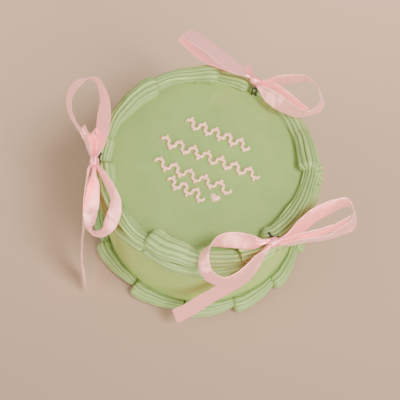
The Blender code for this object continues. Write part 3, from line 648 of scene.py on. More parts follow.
def wander(tree, inputs, geometry):
    """Moves a surface in and out by a broad and a fine noise."""
    place = tree.node("GeometryNodeInputPosition", {}, {})
    normal = tree.node("GeometryNodeInputNormal", {}, {})
    field = {"noise_dimensions": "4D"}
    broad = tree.node("ShaderNodeTexNoise", field, {"Vector": place, "W": inputs["Seed"],
                                                    "Scale": inputs["Broad Scale"], "Detail": 1.0})
    fine = tree.node("ShaderNodeTexNoise", field, {"Vector": place, "W": inputs["Seed"],
                                                   "Scale": inputs["Fine Scale"], "Detail": 2.0})
    push = (broad - 0.5) * inputs["Broad Amount"] + (fine - 0.5) * inputs["Fine Amount"]
    offset = tree.vector("SCALE", normal, push)
    return tree.node("GeometryNodeSetPosition", {}, {"Geometry": geometry, "Offset": offset})


WANDER_INPUTS = ("Broad Scale", "Broad Amount", "Fine Scale", "Fine Amount", "Seed")


def by_hand(finish, broad, fine, seed):
    """Inputs of a wandering surface; broad and fine are each a scale and an amount."""
    return {"Finish": finish, "Broad Scale": broad[0], "Broad Amount": broad[1],
            "Fine Scale": fine[0], "Fine Amount": fine[1], "Seed": seed}


def hand_made_tree():
    """The small unevenness of icing worked by hand."""
    tree, inputs = shape_tree("hand_made_surface", WANDER_INPUTS)
    return close_tree(tree, inputs, wander(tree, inputs, inputs["Geometry"]))


def drop_ring_tree():
    """One teardrop set out on each place of a ring, turned and sized by the place's own values."""
    tree, inputs = shape_tree("drop_ring", WANDER_INPUTS)
    tree.tree.interface.new_socket("Drop", in_out="INPUT", socket_type="NodeSocketObject")
    entry = next(node for node in tree.tree.nodes if node.type == "GROUP_INPUT")
    drop = Value(tree, entry.outputs["Drop"])
    shape = tree.node("GeometryNodeObjectInfo", {}, {"Object": drop}, output="Geometry")
    named = {"data_type": "FLOAT"}
    azimuth = tree.node("GeometryNodeInputNamedAttribute", named, {"Name": "azimuth"})
    size = tree.node("GeometryNodeInputNamedAttribute", named, {"Name": "size"})
    turn = tree.node("FunctionNodeEulerToRotation", {}, {0: tree.combine(0.0, 0.0, azimuth)})
    ring = tree.node("GeometryNodeInstanceOnPoints", {},
                     {"Points": inputs["Geometry"], "Instance": shape, "Rotation": turn,
                      "Scale": tree.combine(1.0, 1.0, size)})
    real = tree.node("GeometryNodeRealizeInstances", {}, {0: ring})
    return close_tree(tree, inputs, wander(tree, inputs, real))


def wavy_stem_tree():
    """A straight line turned into a wavy piped stem with a bud outside each bend."""
    tree, inputs = shape_tree("wavy_stem", ("Waves", "Swing", "Lean", "Thread", "Bud", "Seed"))
    tangent = tree.node("GeometryNodeInputTangent", {}, {})
    across = tree.vector("CROSS_PRODUCT", (0.0, 0.0, 1.0), tangent)
    share = tree.node("GeometryNodeSplineParameter", {}, {})
    fine = tree.node("GeometryNodeResampleCurve", {},
                     {"Curve": inputs["Geometry"], "Count": inputs["Waves"] * STEM_STEPS + 1.0})
    phase = share * inputs["Waves"] * (2.0 * math.pi)
    hand = tree.node("ShaderNodeTexNoise", {"noise_dimensions": "1D"},
                     {"W": share * inputs["Waves"] * 2.0 + inputs["Seed"] * 7.0, "Scale": 1.0,
                      "Detail": 0.0})
    swing = phase.sine() * inputs["Swing"] * (STEM_SWINGS[0] + STEM_SWINGS[1] * hand)
    lean = (phase * 2.0).sine() * inputs["Lean"]
    offset = tree.vector("ADD", tree.vector("SCALE", across, swing),
                         tree.vector("SCALE", tangent, lean))
    place = tree.node("GeometryNodeInputPosition", {}, {})
    wobble = tree.node("ShaderNodeTexNoise", {"noise_dimensions": "4D"},
                       {"Vector": place, "W": inputs["Seed"], "Scale": 260.0, "Detail": 1.0})
    waved = tree.node("GeometryNodeSetPosition", {}, {"Geometry": fine, "Offset": offset})
    circle = tree.node("GeometryNodeCurvePrimitiveCircle", {},
                       {"Resolution": STEM_SIDES, "Radius": 1.0})
    radius = inputs["Thread"] * (STEM_SIZES[0] + STEM_SIZES[1] * wobble)
    stem = tree.node("GeometryNodeCurveToMesh", {},
                     {"Curve": waved, "Profile Curve": circle, "Fill Caps": True, "Scale": radius})
    inset = 0.25 / inputs["Waves"]
    bends = tree.node("GeometryNodeTrimCurve", {},
                      {"Curve": inputs["Geometry"], "Start": inset, "End": 1.0 - inset})
    bends = tree.node("GeometryNodeResampleCurve", {},
                      {"Curve": bends, "Count": inputs["Waves"] * 2.0})
    odd = tree.node("GeometryNodeInputIndex", {}, {}) % 2.0
    outside = (1.0 - odd * 2.0) * (inputs["Swing"] + inputs["Bud"] * BUD_OUT)
    bends = tree.node("GeometryNodeSetPosition", {},
                      {"Geometry": bends, "Offset": tree.vector("SCALE", across, outside)})
    ball = tree.node("GeometryNodeMeshIcoSphere", {}, {"Radius": inputs["Bud"], "Subdivisions": 3})
    low, high = BUD_SIZES
    size = tree.node("FunctionNodeRandomValue", {"data_type": "FLOAT"},
                     {"Min": low, "Max": high, "Seed": inputs["Seed"]}, output=1)
    scale = tree.combine(size, size, size * BUD_HEIGHT)
    buds = tree.node("GeometryNodeInstanceOnPoints", {},
                     {"Points": bends, "Instance": ball, "Scale": scale})
    both = tree.node("GeometryNodeJoinGeometry", {}, {0: stem})
    tree.tree.links.new(buds.socket, both.socket.node.inputs[0])
    return close_tree(tree, inputs, both)


def through_tree(obj, group, values):
    """Turns an object into the plain mesh that a shape tree makes of it."""
    modifier = obj.modifiers.new(group.name, "NODES")
    modifier.node_group = group
    for item in group.interface.items_tree:
        if item.name in values and item.in_out == "INPUT":
            modifier[item.identifier] = values[item.name]
    mesh = evaluated_mesh(obj)
    name = obj.name
    bpy.data.objects.remove(obj, do_unlink=True)
    return mesh_object(name, mesh)


def evaluated_mesh(obj):
    depsgraph = bpy.context.evaluated_depsgraph_get()
    return bpy.data.meshes.new_from_object(obj.evaluated_get(depsgraph))


def mesh_object(name, mesh):
    mesh.name = name
    obj = bpy.data.objects.new(name, mesh)
    bpy.context.scene.collection.objects.link(obj)
    return obj


def bmesh_object(name, bm):
    mesh = bpy.data.meshes.new(name)
    bm.to_mesh(mesh)
    bm.free()
    return mesh_object(name, mesh)


def poly_curve(name, places):
    """A curve of straight pieces through the places."""
    data = bpy.data.curves.new(name, "CURVE")
    data.dimensions = "3D"
    spline = data.splines.new("POLY")
    spline.points.add(len(places) - 1)
    for point, place in zip(spline.points, places):
        point.co = (*place, 1.0)
    return data


def dress(obj, material, slot, *nodes):
    """Shades a piece smoothly, gives it its finish and ties it to the frame."""
    if not obj.data.materials:
        obj.data.materials.append(material)
    obj.data.shade_smooth()
    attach(obj, "root")
    if nodes:
        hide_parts(*nodes)


def rope_rise(degrees):
    """Height of a rope's middle line over the flat top, in mm."""
    degrees = (degrees + 180.0) % 360.0 - 180.0
    clear = min(max(low - degrees, degrees - high, 0.0) for low, high in LOW_SPANS)
    return LOW_RISE + (ROPE_RISE - LOW_RISE) * smoothstep(clear / LOW_EASE)


def on_circle(radius, degrees, height):
    turn = math.radians(degrees)
    return Vector((radius * math.cos(turn), radius * math.sin(turn), height))


def clamp(value):
    return min(max(value, 0.0), 1.0)


def smoothstep(value):
    value = clamp(value)
    return value * value * (3 - 2 * value)


def drift(along, length, row, column):
    """A smooth random number from -1 to 1 that changes along a rope; length is in mm."""
    return noise.noise(Vector((along / (length * MM), row, column)))


def ridge_profile(ridges, draw):
    """Angles round a rope's section with the height of the ridge there, from 0 to 1."""
    widths = [draw.uniform(*RIDGE_WIDTHS) for _ in range(ridges)]
    heights = [draw.uniform(*RIDGE_HEIGHTS) for _ in range(ridges)]
    unit = 2 * math.pi / sum(widths)
    profile = []
    angle = draw.uniform(0.0, 1.0)
    for width, height in zip(widths, heights):
        for step in range(PER_RIDGE):
            share = step / PER_RIDGE
            profile.append((angle + unit * width * share,
                            height * math.sin(math.pi * share) ** 0.5))
        angle += unit * width
    return profile


def piping_mesh():
    """An empty mesh, and the layer that says how high on a ridge each point is, for painted shade in
    the grooves and painted highlight on the ridges.
    """
    bm = bmesh.new()
    return bm, bm.verts.layers.float.new("crest")


def stitch(bm, rows):
    """Quads between closed rings of points."""
    count = len(rows[0])
    for first, second in zip(rows, rows[1:]):
        for index in range(count):
            after = (index + 1) % count
            bm.faces.new((first[index], first[after], second[after], second[index]))


def close_over(bm, row, pole, flip=False):
    """Triangles from a closed ring of points to a pole."""
    for index, vert in enumerate(row):
        after = row[(index + 1) % len(row)]
        bm.faces.new((after, vert, pole) if flip else (vert, after, pole))


def loft(bm, rings, ridge_shades, layer, ends):
    """Quads between rings of points, with a pole at each end; the ridge shades set each point's
    painted shade and highlight.
    """
    rows = []
    for ring, heights in zip(rings, ridge_shades):
        row = []
        for place, height in zip(ring, heights):
            vert = bm.verts.new(place)
            vert[layer] = height
            row.append(vert)
        rows.append(row)
    stitch(bm, rows)
    for row, place, flip in ((rows[0], ends[0], True), (rows[-1], ends[1], False)):
        pole = bm.verts.new(place)
        pole[layer] = 0.5
        close_over(bm, row, pole, flip)


def rope(bm, layer, centre_at, length, size_at, finish, ridges, groove, step, seed):
    """A ridged rope along a course, all in metres: a start, a long body and a tail that closes."""
    draw = random.Random(seed)
    profile = ridge_profile(ridges, draw)
    nose = NOSE_LENGTH * size_at(0.0) if finish == "round" else 0.0
    tip = TIP_LENGTH * size_at(length)
    if finish == "round":
        stops = [nose * (1 - math.cos(0.5 * math.pi * part / (NOSE_RINGS + 1)))
                 for part in range(1, NOSE_RINGS + 1)]
    else:
        stops = [0.0]
    body = max(2, round((length - nose - tip) / step))
    stops += [nose + (length - nose - tip) * part / body for part in range(body + 1)]
    stops += [length - tip + tip * math.sin(0.5 * math.pi * part / (TIP_RINGS + 1))
              for part in range(1, TIP_RINGS + 1)]
    rings, ridge_shades = [], []
    for along in stops:
        centre = centre_at(along)
        travel = (centre_at(along + 0.2 * MM) - centre_at(along - 0.2 * MM)).normalized()
        out = travel.cross(UP).normalized()
        up = out.cross(travel).normalized()
        size = size_at(along) * (1 + SIZE_DRIFT * drift(along, 9, seed * 2.9, 4.0))
        centre += out * OUT_DRIFT * MM * drift(along, 10, seed * 5.3, 1.0)
        centre += up * UP_DRIFT * MM * drift(along, 10, seed * 5.3, 7.0)
        full = 1.0
        if along < nose:
            full = (1 - (1 - along / nose) ** NOSE_SQUARE) ** (1 / NOSE_SQUARE)
        elif along > length - tip:
            full = math.sqrt(max(1 - ((along - length + tip) / tip) ** 2, 0.0))
        sway = TWIST_DRIFT * drift(along, 24, seed * 3.7, 0.0)
        petal = math.exp(-along / (PETAL_LENGTH * MM)) if finish == "open" else 0.0
        ring, heights = [], []
        for index, (angle, height) in enumerate(profile):
            height *= 1 + RIDGE_DRIFT * drift(along, 16, seed * 1.3, index // PER_RIDGE * 2.1)
            reach = size * full * (1 - groove * (1 - height))
            turn = angle + sway
            low = UNDERSIDE if math.sin(turn) < 0 else 1.0
            arm = (out * math.cos(turn) + up * math.sin(turn) * low) * reach
            ring.append(centre + arm * (1 + PETAL_SPREAD * petal * height)
                        - travel * PETAL_REACH * MM * petal * height)
            heights.append(clamp(height))
        rings.append(ring)
        ridge_shades.append(heights)
    hollow = OPEN_DEPTH * MM if finish == "open" else 0.0
    loft(bm, rings, ridge_shades, layer, (centre_at(hollow + 0.01 * MM), centre_at(length)))


def close_normals(bm):
    bmesh.ops.recalc_face_normals(bm, faces=bm.faces)


def top_course(item):
    """The middle line of a top rope, and its length."""
    span = item.end - item.start
    length = math.radians(span) * TOP_CIRCLE * MM

    def centre_at(along):
        share = along / length
        swing = item.hook * max(1 - along / (NOSE_COURSE * MM), 0.0) ** 2
        circle = TOP_CIRCLE + TOP_INSET * (2 * share - 1) + swing
        lift = NOSE_LIFT * math.exp(-(along / (NOSE_COURSE * MM)) ** 2)
        sink = TAIL_SINK * share ** 3
        degrees = item.start + span * share
        return on_circle(circle * MM, degrees,
                         CAKE_HEIGHT + (rope_rise(degrees) + lift - sink) * MM)

    def size_at(along):
        return (item.tail + (item.head - item.tail) * (1 - clamp(along / length)) ** 1.3) * MM

    return centre_at, length, size_at


def peak(bm, layer, azimuth, radius, height, out, round_by, rise, foot):
    """A little pulled peak or loose bit of icing."""
    base = on_circle(radius * MM, azimuth, height * MM)
    outward = on_circle(1.0, azimuth, 0.0)
    sideways = UP.cross(outward)
    reach = (outward * out + sideways * round_by + UP * rise) * MM
    aim = reach.normalized()
    across = aim.orthogonal().normalized()
    other = aim.cross(across)
    rings, ridge_shades = [], []
    for part in range(PEAK_RINGS + 1):
        share = part / PEAK_RINGS
        bend = UP * 0.35 * reach.length * share * (1 - share)
        centre = base - 0.5 * reach + 1.5 * reach * share + bend
        size = (foot * (1 - share) ** 0.8 + PEAK_BLUNT) * MM
        ring = []
        for index in range(PEAK_SIDES):
            turn = 2 * math.pi * index / PEAK_SIDES
            lobe = 1 + PEAK_LOBES * math.cos(3 * turn + azimuth)
            ring.append(centre + (across * math.cos(turn) + other * math.sin(turn)) * size * lobe)
        rings.append(ring)
        # Painted highlight: a peak is painted paler towards its tip.
        ridge_shades.append([0.6 + 0.3 * share] * PEAK_SIDES)
    loft(bm, rings, ridge_shades, layer, (base - 0.55 * reach, base + reach))


def cake_outline(edge_radius):
    """The cake's half section from the middle of the top to the middle of the bottom."""
    outline = []
    flat = CAKE_RADIUS - edge_radius
    for step in range(CAKE_CIRCLES + 1):
        outline.append((flat * step / CAKE_CIRCLES, CAKE_HEIGHT))
    for step in range(1, CAKE_EDGE_RINGS + 1):
        turn = 0.5 * math.pi * step / CAKE_EDGE_RINGS
        outline.append((flat + edge_radius * math.sin(turn),
                        CAKE_HEIGHT - edge_radius * (1 - math.cos(turn))))
    for step in range(1, CAKE_RINGS + 1):
        outline.append((CAKE_RADIUS, (CAKE_HEIGHT - edge_radius) * (1 - step / CAKE_RINGS)))
    for step in range(1, CAKE_FLOOR_RINGS + 1):
        outline.append((CAKE_RADIUS * (1 - step / CAKE_FLOOR_RINGS), 0.0))
    return outline


def heart_mesh(bm, layer, width, place, turn):
    """A low domed heart with its point towards the front."""
    matrix = Matrix.Translation(place) @ Matrix.Rotation(math.radians(turn), 4, "Z")
    rings = []
    for level in range(1, HEART_RINGS + 1):
        tilt = 0.5 * math.pi * level / HEART_RINGS
        ring = []
        for index in range(HEART_SIDES):
            angle = 2 * math.pi * index / HEART_SIDES
            across = 16 * math.sin(angle) ** 3
            up = (13 * math.cos(angle) - 5 * math.cos(2 * angle) - 2 * math.cos(3 * angle)
                  - math.cos(4 * angle))
            flat = Vector((across, up, 0.0)) * width / 32 * math.sin(tilt)
            ring.append(matrix @ (flat + UP * HEART_DOME * math.cos(tilt)))
        rings.append(ring)
    rings.append([point - UP * HEART_SINK for point in rings[-1]])
    ridge_shades = [[1.0] * HEART_SIDES] * len(rings)
    loft(bm, rings, ridge_shades, layer, (matrix @ (UP * HEART_DOME), matrix @ (UP * -HEART_SINK)))


def catmull_rom(points, share):
    """A point of the smooth curve through evenly numbered points."""
    last = len(points) - 1
    index = min(int(share), last - 1)
    along = share - index
    before = points[index - 1] if index > 0 else 2 * points[0] - points[1]
    after = points[index + 2] if index + 2 <= last else 2 * points[last] - points[last - 1]
    here, there = points[index], points[index + 1]
    return 0.5 * (2 * here + (there - before) * along
                  + (2 * before - 5 * here + 4 * there - after) * along ** 2
                  + (3 * here - before - 3 * there + after) * along ** 3)


def rim_direction(heading, rise):
    head, up = math.radians(heading), math.radians(rise)
    return Vector((math.cos(up) * math.cos(head), math.cos(up) * math.sin(head), math.sin(up)))


def even_shares(middles, step):
    """Shares of a route at even distances along it, and its length in mm."""
    count = (len(middles) - 1) * ROUTE_SAMPLES
    samples = [catmull_rom(middles, index / ROUTE_SAMPLES) for index in range(count + 1)]
    run = [0.0]
    for first, second in zip(samples, samples[1:]):
        run.append(run[-1] + (second - first).length)
    count = max(8, round(run[-1] / step))
    shares, index = [], 0
    for part in range(count + 1):
        target = run[-1] * part / count
        while index < len(run) - 2 and run[index + 1] < target:
            index += 1
        gap = run[index + 1] - run[index]
        shares.append((index + (target - run[index]) / gap) / ROUTE_SAMPLES)
    return shares, run[-1]


def ribbon_strip(name, strip, knot, settings, seed):
    """A strip of ribbon along its route, pleated where the knot gathers it; also its length."""
    middles = [Vector(station[:3]) for station in strip.route]
    rims = [rim_direction(station[3], station[4]) for station in strip.route]
    last = len(middles) - 1
    shares, length = even_shares(middles, RIBBON_STEP)
    width = settings.width / MM
    bm = bmesh.new()
    cloth = bm.loops.layers.uv.new("cloth")
    drawn = bm.verts.layers.float.new("drawn")
    rows = []
    for share in shares:
        middle = catmull_rom(middles, share)
        ahead = catmull_rom(middles, min(share + 0.02, last))
        behind = catmull_rom(middles, max(share - 0.02, 0.0))
        travel = (ahead - behind).normalized()
        rim = catmull_rom(rims, share)
        rim = (rim - travel * rim.dot(travel)).normalized()
        face = travel.cross(rim)
        away = (middle - Vector(knot)).length
        spread = smoothstep((away - RIBBON_GATHER) / (RIBBON_SPREAD - RIBBON_GATHER))
        breadth = width * (RIBBON_PINCH + (1 - RIBBON_PINCH) * spread)
        near_end = max(share - last + 1, 0.0)
        row = []
        for index in range(RIBBON_ACROSS + 1):
            side = 2 * index / RIBBON_ACROSS - 1
            pleat = math.cos(math.pi * RIBBON_PLEATS * side + seed) * (1 - spread)
            ripple = noise.noise(Vector((share * 2.3, side * 0.8, seed * 5.1)))
            lift = (RIBBON_PLEAT_DEPTH * pleat + RIBBON_CUP * (1 - side * side) * spread
                    + RIBBON_RIPPLE * ripple * spread)
            place = (middle + rim * side * 0.5 * breadth + face * lift
                     + travel * side * 0.5 * strip.slant * near_end)
            vert = bm.verts.new(place * MM)
            # Painted shade near the knot, deeper where the pleats dip.
            vert[drawn] = (1 - spread) ** 2 * (0.75 - 0.25 * pleat)
            row.append(vert)
        rows.append(row)
    for ring, (first, second) in enumerate(zip(rows, rows[1:])):
        for index in range(RIBBON_ACROSS):
            quad = bm.faces.new((first[index], first[index + 1], second[index + 1], second[index]))
            corners = ((ring, index), (ring, index + 1), (ring + 1, index + 1), (ring + 1, index))
            for loop, (step, place) in zip(quad.loops, corners):
                loop[cloth].uv = (length * MM * step / (len(rows) - 1), place / RIBBON_ACROSS)
    obj = bmesh_object(name, bm)
    wall = obj.modifiers.new("thickness", "SOLIDIFY")
    wall.thickness = settings.thickness
    wall.offset = 0.0
    wall.use_even_offset = False
    mesh = evaluated_mesh(obj)
    bpy.data.objects.remove(obj, do_unlink=True)
    return mesh_object(name, mesh), length * MM


def knot_wrap(name, knot, seed):
    """The band round the middle of a bow, creased lengthwise by the pull of the knot."""
    bm = bmesh.new()
    cloth = bm.loops.layers.uv.new("cloth")
    drawn = bm.verts.layers.float.new("drawn")
    turn = math.atan2(knot[1], knot[0]) + 0.5 * math.pi
    matrix = Matrix.Translation(Vector(knot) * MM) @ Matrix.Rotation(turn, 4, "Z")
    half, wide, high = KNOT_SIZE
    rows = []
    for step in range(1, KNOT_RINGS):
        tilt = math.pi * step / KNOT_RINGS
        row = []
        for index in range(KNOT_SIDES):
            angle = 2 * math.pi * index / KNOT_SIDES
            cosine, sine = math.cos(angle), math.sin(angle)
            slide = 2.4 * math.cos(tilt) + 0.35 * math.sin(angle + seed)
            crease = abs(math.sin(math.pi * slide * 0.9)) ** 0.7
            rough = noise.noise(Vector((cosine * 2, sine * 2, step * 0.4 + seed)))
            reach = math.sin(tilt) ** 0.42 * (0.84 + KNOT_CREASE * crease) + 0.03 * rough
            place = Vector((half * math.cos(tilt), wide * reach * cosine, high * reach * sine))
            vert = bm.verts.new(matrix @ (place * MM))
            # Painted shade, darker between the knot's creases.
            vert[drawn] = 0.95 - 0.6 * crease
            row.append(vert)
        rows.append(row)
    stitch(bm, rows)
    for row in (rows[0], rows[-1]):
        bm.faces.new(row)
    for quad in bm.faces:
        for loop in quad.loops:
            spot = matrix.inverted() @ loop.vert.co
            loop[cloth].uv = (math.atan2(spot.z, spot.y) * wide * MM,
                              0.5 + 0.42 * spot.x / (half * MM))
    close_normals(bm)
    return bmesh_object(name, bm)


def pin_course(knot, legs):
    """The route of a bent pin: up one leg, over towards the knot and down the other, in mm."""
    first, second = (Vector((x, y, 0.0)) for x, y in legs)
    corner = 0.25 * (second - first)
    bend = corner.length
    lean = Vector((knot[0], knot[1], 0.0)) - 0.5 * (first + second)
    lean *= max(lean.length - PIN_REACH, 0.0) / lean.length
    route = []
    for leg, inward in ((first, corner), (second, -corner)):
        half = [leg + UP * PIN_FOOT, leg + UP * (PIN_TOP - bend),
                leg + UP * (PIN_TOP - 0.3 * bend) + 0.3 * inward + 0.5 * lean,
                leg + UP * PIN_TOP + inward + lean]
        route += half if leg is first else reversed(half)
    return route


class BENTO_OT_frosting(bpy.types.Operator):
    """Makes the frosted cake with its smoothed top and side"""

    bl_idname = "bento_cake.frosting"
    bl_label = "Frosting"

    def execute(self, context):
        settings = context.scene.bento_cake.cake
        bm = bmesh.new()
        outline = cake_outline(settings.edge_radius)
        rows = []
        for radius, height in outline[1:-1]:
            rows.append([bm.verts.new(on_circle(radius, 360 * side / CAKE_SIDES, height))
                         for side in range(CAKE_SIDES)])
        stitch(bm, rows)
        for row, height in ((rows[0], CAKE_HEIGHT), (rows[-1], 0.0)):
            close_over(bm, row, bm.verts.new((0.0, 0.0, height)))
        close_normals(bm)
        plain = bmesh_object("frosted_cake", bm)
        finish = smoothed_icing(settings)
        stray = settings.unevenness
        cake = through_tree(plain, hand_made_tree(),
                            by_hand(finish, (22.0, stray), (160.0, 0.15 * stray), seed=3.0))
        for vert in cake.data.vertices:
            vert.co.z = max(vert.co.z, 0.0)
        dress(cake, finish, "icing", "cake_body")
        return {"FINISHED"}


class BENTO_OT_motif(bpy.types.Operator):
    """Pipes the wavy stems and the heart on the top"""

    bl_idname = "bento_cake.motif"
    bl_label = "Piped Motif"

    def execute(self, context):
        settings = context.scene.bento_cake.cake
        finish = motif_icing(settings)
        group = wavy_stem_tree()
        height = CAKE_HEIGHT + 0.75 * settings.thread
        for index, row in enumerate(MOTIF_ROWS):
            ends = [(x * MM, y * MM, height) for x, y in row]
            line = mesh_object(f"motif_stem_{index}", poly_curve(f"stem_{index}", ends))
            waves = max(1, round(math.dist(*row) * MM / settings.wave))
            stem = through_tree(line, group, {
                "Finish": finish, "Waves": float(waves), "Swing": settings.swing,
                "Lean": settings.lean, "Thread": settings.thread, "Bud": settings.bud,
                "Seed": 4.0 + index})
            dress(stem, finish, "icing", "cake_body")
        bm, layer = piping_mesh()
        place = Vector((HEART_PLACE[0] * MM, HEART_PLACE[1] * MM, CAKE_HEIGHT))
        heart_mesh(bm, layer, settings.heart_width, place, HEART_TURN)
        close_normals(bm)
        dress(bmesh_object("motif_heart", bm), finish, "icing", "cake_body")
        return {"FINISHED"}


class BENTO_OT_top_border(bpy.types.Operator):
    """Pipes the ropes along the top edge, with their loose bits of icing"""

    bl_idname = "bento_cake.top_border"
    bl_label = "Top Border"

    def execute(self, context):
        settings = context.scene.bento_cake.piping
        bm, layer = piping_mesh()
        for index, item in enumerate(TOP_ROPES):
            centre_at, length, size_at = top_course(item)
            rope(bm, layer, centre_at, length, size_at, item.finish, TOP_RIDGES, settings.groove,
                 settings.step, seed=index + 1)
        for item in PEAKS:
            peak(bm, layer, *item)
        close_normals(bm)
        finish = piped_icing(settings)
        stray = settings.unevenness
        border = through_tree(bmesh_object("top_border_ropes", bm), hand_made_tree(),
                              by_hand(finish, (140.0, 1.5 * stray), (480.0, 0.7 * stray), seed=8.0))
        dress(border, finish, "piping", "top_border")
        return {"FINISHED"}


class BENTO_OT_swags(bpy.types.Operator):
    """Hangs the pairs of thin ropes on the side"""

    bl_idname = "bento_cake.swags"
    bl_label = "Side Swags"

    def execute(self, context):
        settings = context.scene.bento_cake.piping
        finish = piped_icing(settings)
        group = hand_made_tree()
        for swag in SWAGS:
            bm, layer = piping_mesh()
            for index in range(len(SWAG_POSTS)):
                self.hang(bm, layer, settings, swag, index)
            close_normals(bm)
            broad, fine = swag.broad * settings.unevenness, swag.fine * settings.unevenness
            piece = through_tree(bmesh_object(swag.name, bm), group,
                                 by_hand(finish, (180.0, broad), (700.0, fine), seed=2.0))
            dress(piece, finish, "piping", "top_border")
        return {"FINISHED"}

    @staticmethod
    def hang(bm, layer, settings, swag, index):
        """Hangs one thin rope from a post to the next."""
        start, swell_here = SWAG_POSTS[index], SWAG_SWELL[index]
        following = (index + 1) % len(SWAG_POSTS)
        span = (SWAG_POSTS[following] - start) % 360.0
        circle = CAKE_RADIUS + swag.stand_off * MM
        length = math.radians(span) * circle
        sag = swag.sag * min(span / SWAG_FULL_SPAN, 1.0)

        def centre_at(along):
            share = along / length
            hang = 4 * share * (1 - share)
            swell = swell_here * (1 - share) + SWAG_SWELL[following] * share
            return on_circle(circle + swell * MM, start + span * share,
                             (swag.top - sag * hang) * MM)

        def size_at(along):
            share = clamp(along / length)
            middle = (4 * share * (1 - share)) ** 0.7
            return swag.radius * (SWAG_ENDS + (1 - SWAG_ENDS) * middle) * MM

        rope(bm, layer, centre_at, length, size_at, "round", swag.ridges, swag.groove,
             settings.step, seed=40 + index + 10 * swag.ridges)


class BENTO_OT_base_border(bpy.types.Operator):
    """Pipes the teardrops round the foot"""

    bl_idname = "bento_cake.base_border"
    bl_label = "Base Border"

    def execute(self, context):
        settings = context.scene.bento_cake.piping
        pitch = 360.0 / len(BASE_STARTS)
        span = pitch + BASE_TUCK
        length = math.radians(span) * BASE_TAIL_CIRCLE * MM

        def centre_at(along):
            share = along / length
            swing = BASE_HOOK * max(1 - along / (BASE_NOSE_COURSE * MM), 0.0) ** 2
            belly = BASE_BELLY * math.exp(-((share - 0.22) / 0.12) ** 2)
            circle = (BASE_START_CIRCLE + (BASE_TAIL_CIRCLE - BASE_START_CIRCLE) * share
                      + swing + belly)
            return on_circle(circle * MM, span * share, BASE_CENTRE_HEIGHT * MM)

        def size_at(along):
            return (BASE_TAIL + (BASE_HEAD - BASE_TAIL) * (1 - clamp(along / length)) ** 0.9) * MM

        bm, layer = piping_mesh()
        rope(bm, layer, centre_at, length, size_at, "round", BASE_RIDGES,
             BASE_GROOVE * settings.groove, settings.step, seed=21)
        close_normals(bm)
        drop = bmesh_object("drop_pattern", bm)
        places = bpy.data.meshes.new("drop_places")
        places.from_pydata([(0.0, 0.0, 0.0)] * len(BASE_STARTS), [], [])
        azimuth = places.attributes.new("azimuth", "FLOAT", "POINT")
        size = places.attributes.new("size", "FLOAT", "POINT")
        draw = random.Random(5)
        for index, start in enumerate(BASE_STARTS):
            azimuth.data[index].value = math.radians(start)
            size.data[index].value = draw.uniform(0.94, 1.05)
        finish = piped_icing(settings)
        stray = settings.unevenness
        values = by_hand(finish, (120.0, 2.6 * stray), (480.0, 0.7 * stray), seed=6.0)
        border = through_tree(mesh_object("base_border_drops", places), drop_ring_tree(),
                              {**values, "Drop": drop})
        bpy.data.objects.remove(drop, do_unlink=True)
        for vert in border.data.vertices:
            vert.co.z = max(vert.co.z, 0.0)
        dress(border, finish, "piping", "base_border")
        return {"FINISHED"}


class BENTO_OT_bows(bpy.types.Operator):
    """Ties the three satin bows"""

    bl_idname = "bento_cake.bows"
    bl_label = "Satin Bows"

    def execute(self, context):
        settings = context.scene.bento_cake.ribbon
        finish = satin(settings)
        for number, bow in enumerate(BOWS):
            node = f"bow_{bow.side}"
            knot = knot_wrap(f"knot_{bow.side}", bow.knot, number)
            dress(knot, finish, "satin", node)
            for index, strip in enumerate(bow.strips):
                name = f"ribbon_{bow.side}_{strip.name}"
                piece, length = ribbon_strip(name, strip, bow.knot, settings, 3 * number + index)
                dress(piece, finish, "satin", node)
        return {"FINISHED"}


class BENTO_OT_pins(bpy.types.Operator):
    """Bends the black pins that hold the bows"""

    bl_idname = "bento_cake.pins"
    bl_label = "Wire Pins"

    def execute(self, context):
        settings = context.scene.bento_cake.ribbon
        finish = coated_wire(settings)
        for bow in BOWS:
            stations = pin_course(bow.knot, bow.legs)
            count = PIN_POINTS * (len(stations) - 1)
            data = poly_curve(f"pin_{bow.side}", [catmull_rom(stations, index / PIN_POINTS) * MM
                                                  for index in range(count + 1)])
            data.bevel_depth = settings.pin_radius
            data.bevel_resolution = 4
            data.use_fill_caps = True
            curve = mesh_object(f"pin_curve_{bow.side}", data)
            mesh = evaluated_mesh(curve)
            bpy.data.objects.remove(curve, do_unlink=True)
            bm = bmesh.new()
            bm.from_mesh(mesh)
            bmesh.ops.remove_doubles(bm, verts=bm.verts, dist=0.002 * MM)
            close_normals(bm)
            dress(bmesh_object(f"wire_{bow.side}", bm), finish, "wire", f"pin_{bow.side}")
        return {"FINISHED"}


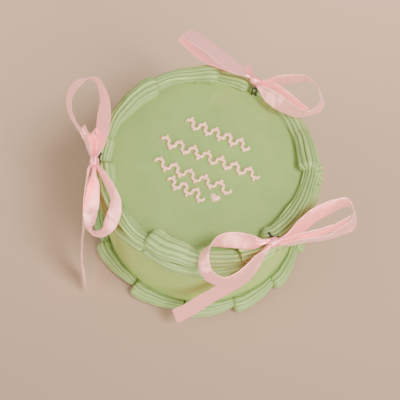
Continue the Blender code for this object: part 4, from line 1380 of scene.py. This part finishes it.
class BENTO_OT_stage(bpy.types.Operator):
    """Sets the floor, the studio light and the camera"""

    bl_idname = "bento_cake.stage"
    bl_label = "Stage"

    def execute(self, context):
        settings = context.scene.bento_cake.stage
        bm = bmesh.new()
        bmesh.ops.create_grid(bm, x_segments=1, y_segments=1, size=0.5 * settings.floor_size)
        floor = bmesh_object("floor", bm)
        floor.data.materials.append(plain_floor(settings))
        for name, power, place, size, colour in LIGHTS:
            self.light(name, place, size, getattr(settings, power), colour)
        world = bpy.data.worlds.new("soft_studio")
        world.use_nodes = True
        sky = world.node_tree.nodes["Background"]
        sky.inputs["Color"].default_value = (1.0, 0.975, 0.95, 1.0)
        sky.inputs["Strength"].default_value = settings.sky
        context.scene.world = world
        data = bpy.data.cameras.new("camera")
        data.lens = FOCAL_LENGTH
        data.sensor_width = 36.0
        data.clip_start = 0.01
        camera = bpy.data.objects.new("camera", data)
        context.scene.collection.objects.link(camera)
        tilt = Matrix.Rotation(math.radians(90.0 - CAMERA_ELEVATION), 4, "X")
        roll = Matrix.Rotation(math.radians(CAMERA_ROLL), 4, "Z")
        camera.matrix_world = Matrix.Translation(EYE) @ tilt @ roll
        context.scene.camera = camera
        return {"FINISHED"}

    @staticmethod
    def light(name, place, size, power, colour):
        """A square soft light that looks at the cake."""
        data = bpy.data.lights.new(name, "AREA")
        data.size = size
        data.energy = power
        data.color = colour
        lamp = bpy.data.objects.new(name, data)
        bpy.context.scene.collection.objects.link(lamp)
        lamp.location = place
        aim = Vector((0.0, 0.0, 0.5 * CAKE_HEIGHT)) - Vector(place)
        lamp.rotation_euler = aim.to_track_quat("-Z", "Y").to_euler()


PIECES = (BENTO_OT_frosting, BENTO_OT_motif, BENTO_OT_top_border, BENTO_OT_swags,
          BENTO_OT_base_border, BENTO_OT_bows, BENTO_OT_pins, BENTO_OT_stage)


class BENTO_PT_panel(bpy.types.Panel):
    """Lists the pieces of the cake"""

    bl_idname = "BENTO_PT_panel"
    bl_label = "Bento Cake"
    bl_space_type = "VIEW_3D"
    bl_region_type = "UI"
    bl_category = "Bento Cake"

    def draw(self, context):
        settings = context.scene.bento_cake
        for group in (settings.cake, settings.piping, settings.ribbon, settings.stage):
            box = self.layout.box()
            for name in group.__annotations__:
                box.prop(group, name)
        for piece in PIECES:
            self.layout.operator(piece.bl_idname)


CLASSES = (CakeSettings, PipingSettings, RibbonSettings, StageSettings, BentoCakeSettings,
           *PIECES, BENTO_PT_panel)


def register():
    for cls in CLASSES:
        bpy.utils.register_class(cls)
    bpy.types.Scene.bento_cake = PointerProperty(type=BentoCakeSettings)


def unregister():
    del bpy.types.Scene.bento_cake
    for cls in reversed(CLASSES):
        bpy.utils.unregister_class(cls)


def main():
    register()
    for piece in PIECES:
        family, name = piece.bl_idname.split(".")
        getattr(getattr(bpy.ops, family), name)()


if __name__ == "__main__":
    main()
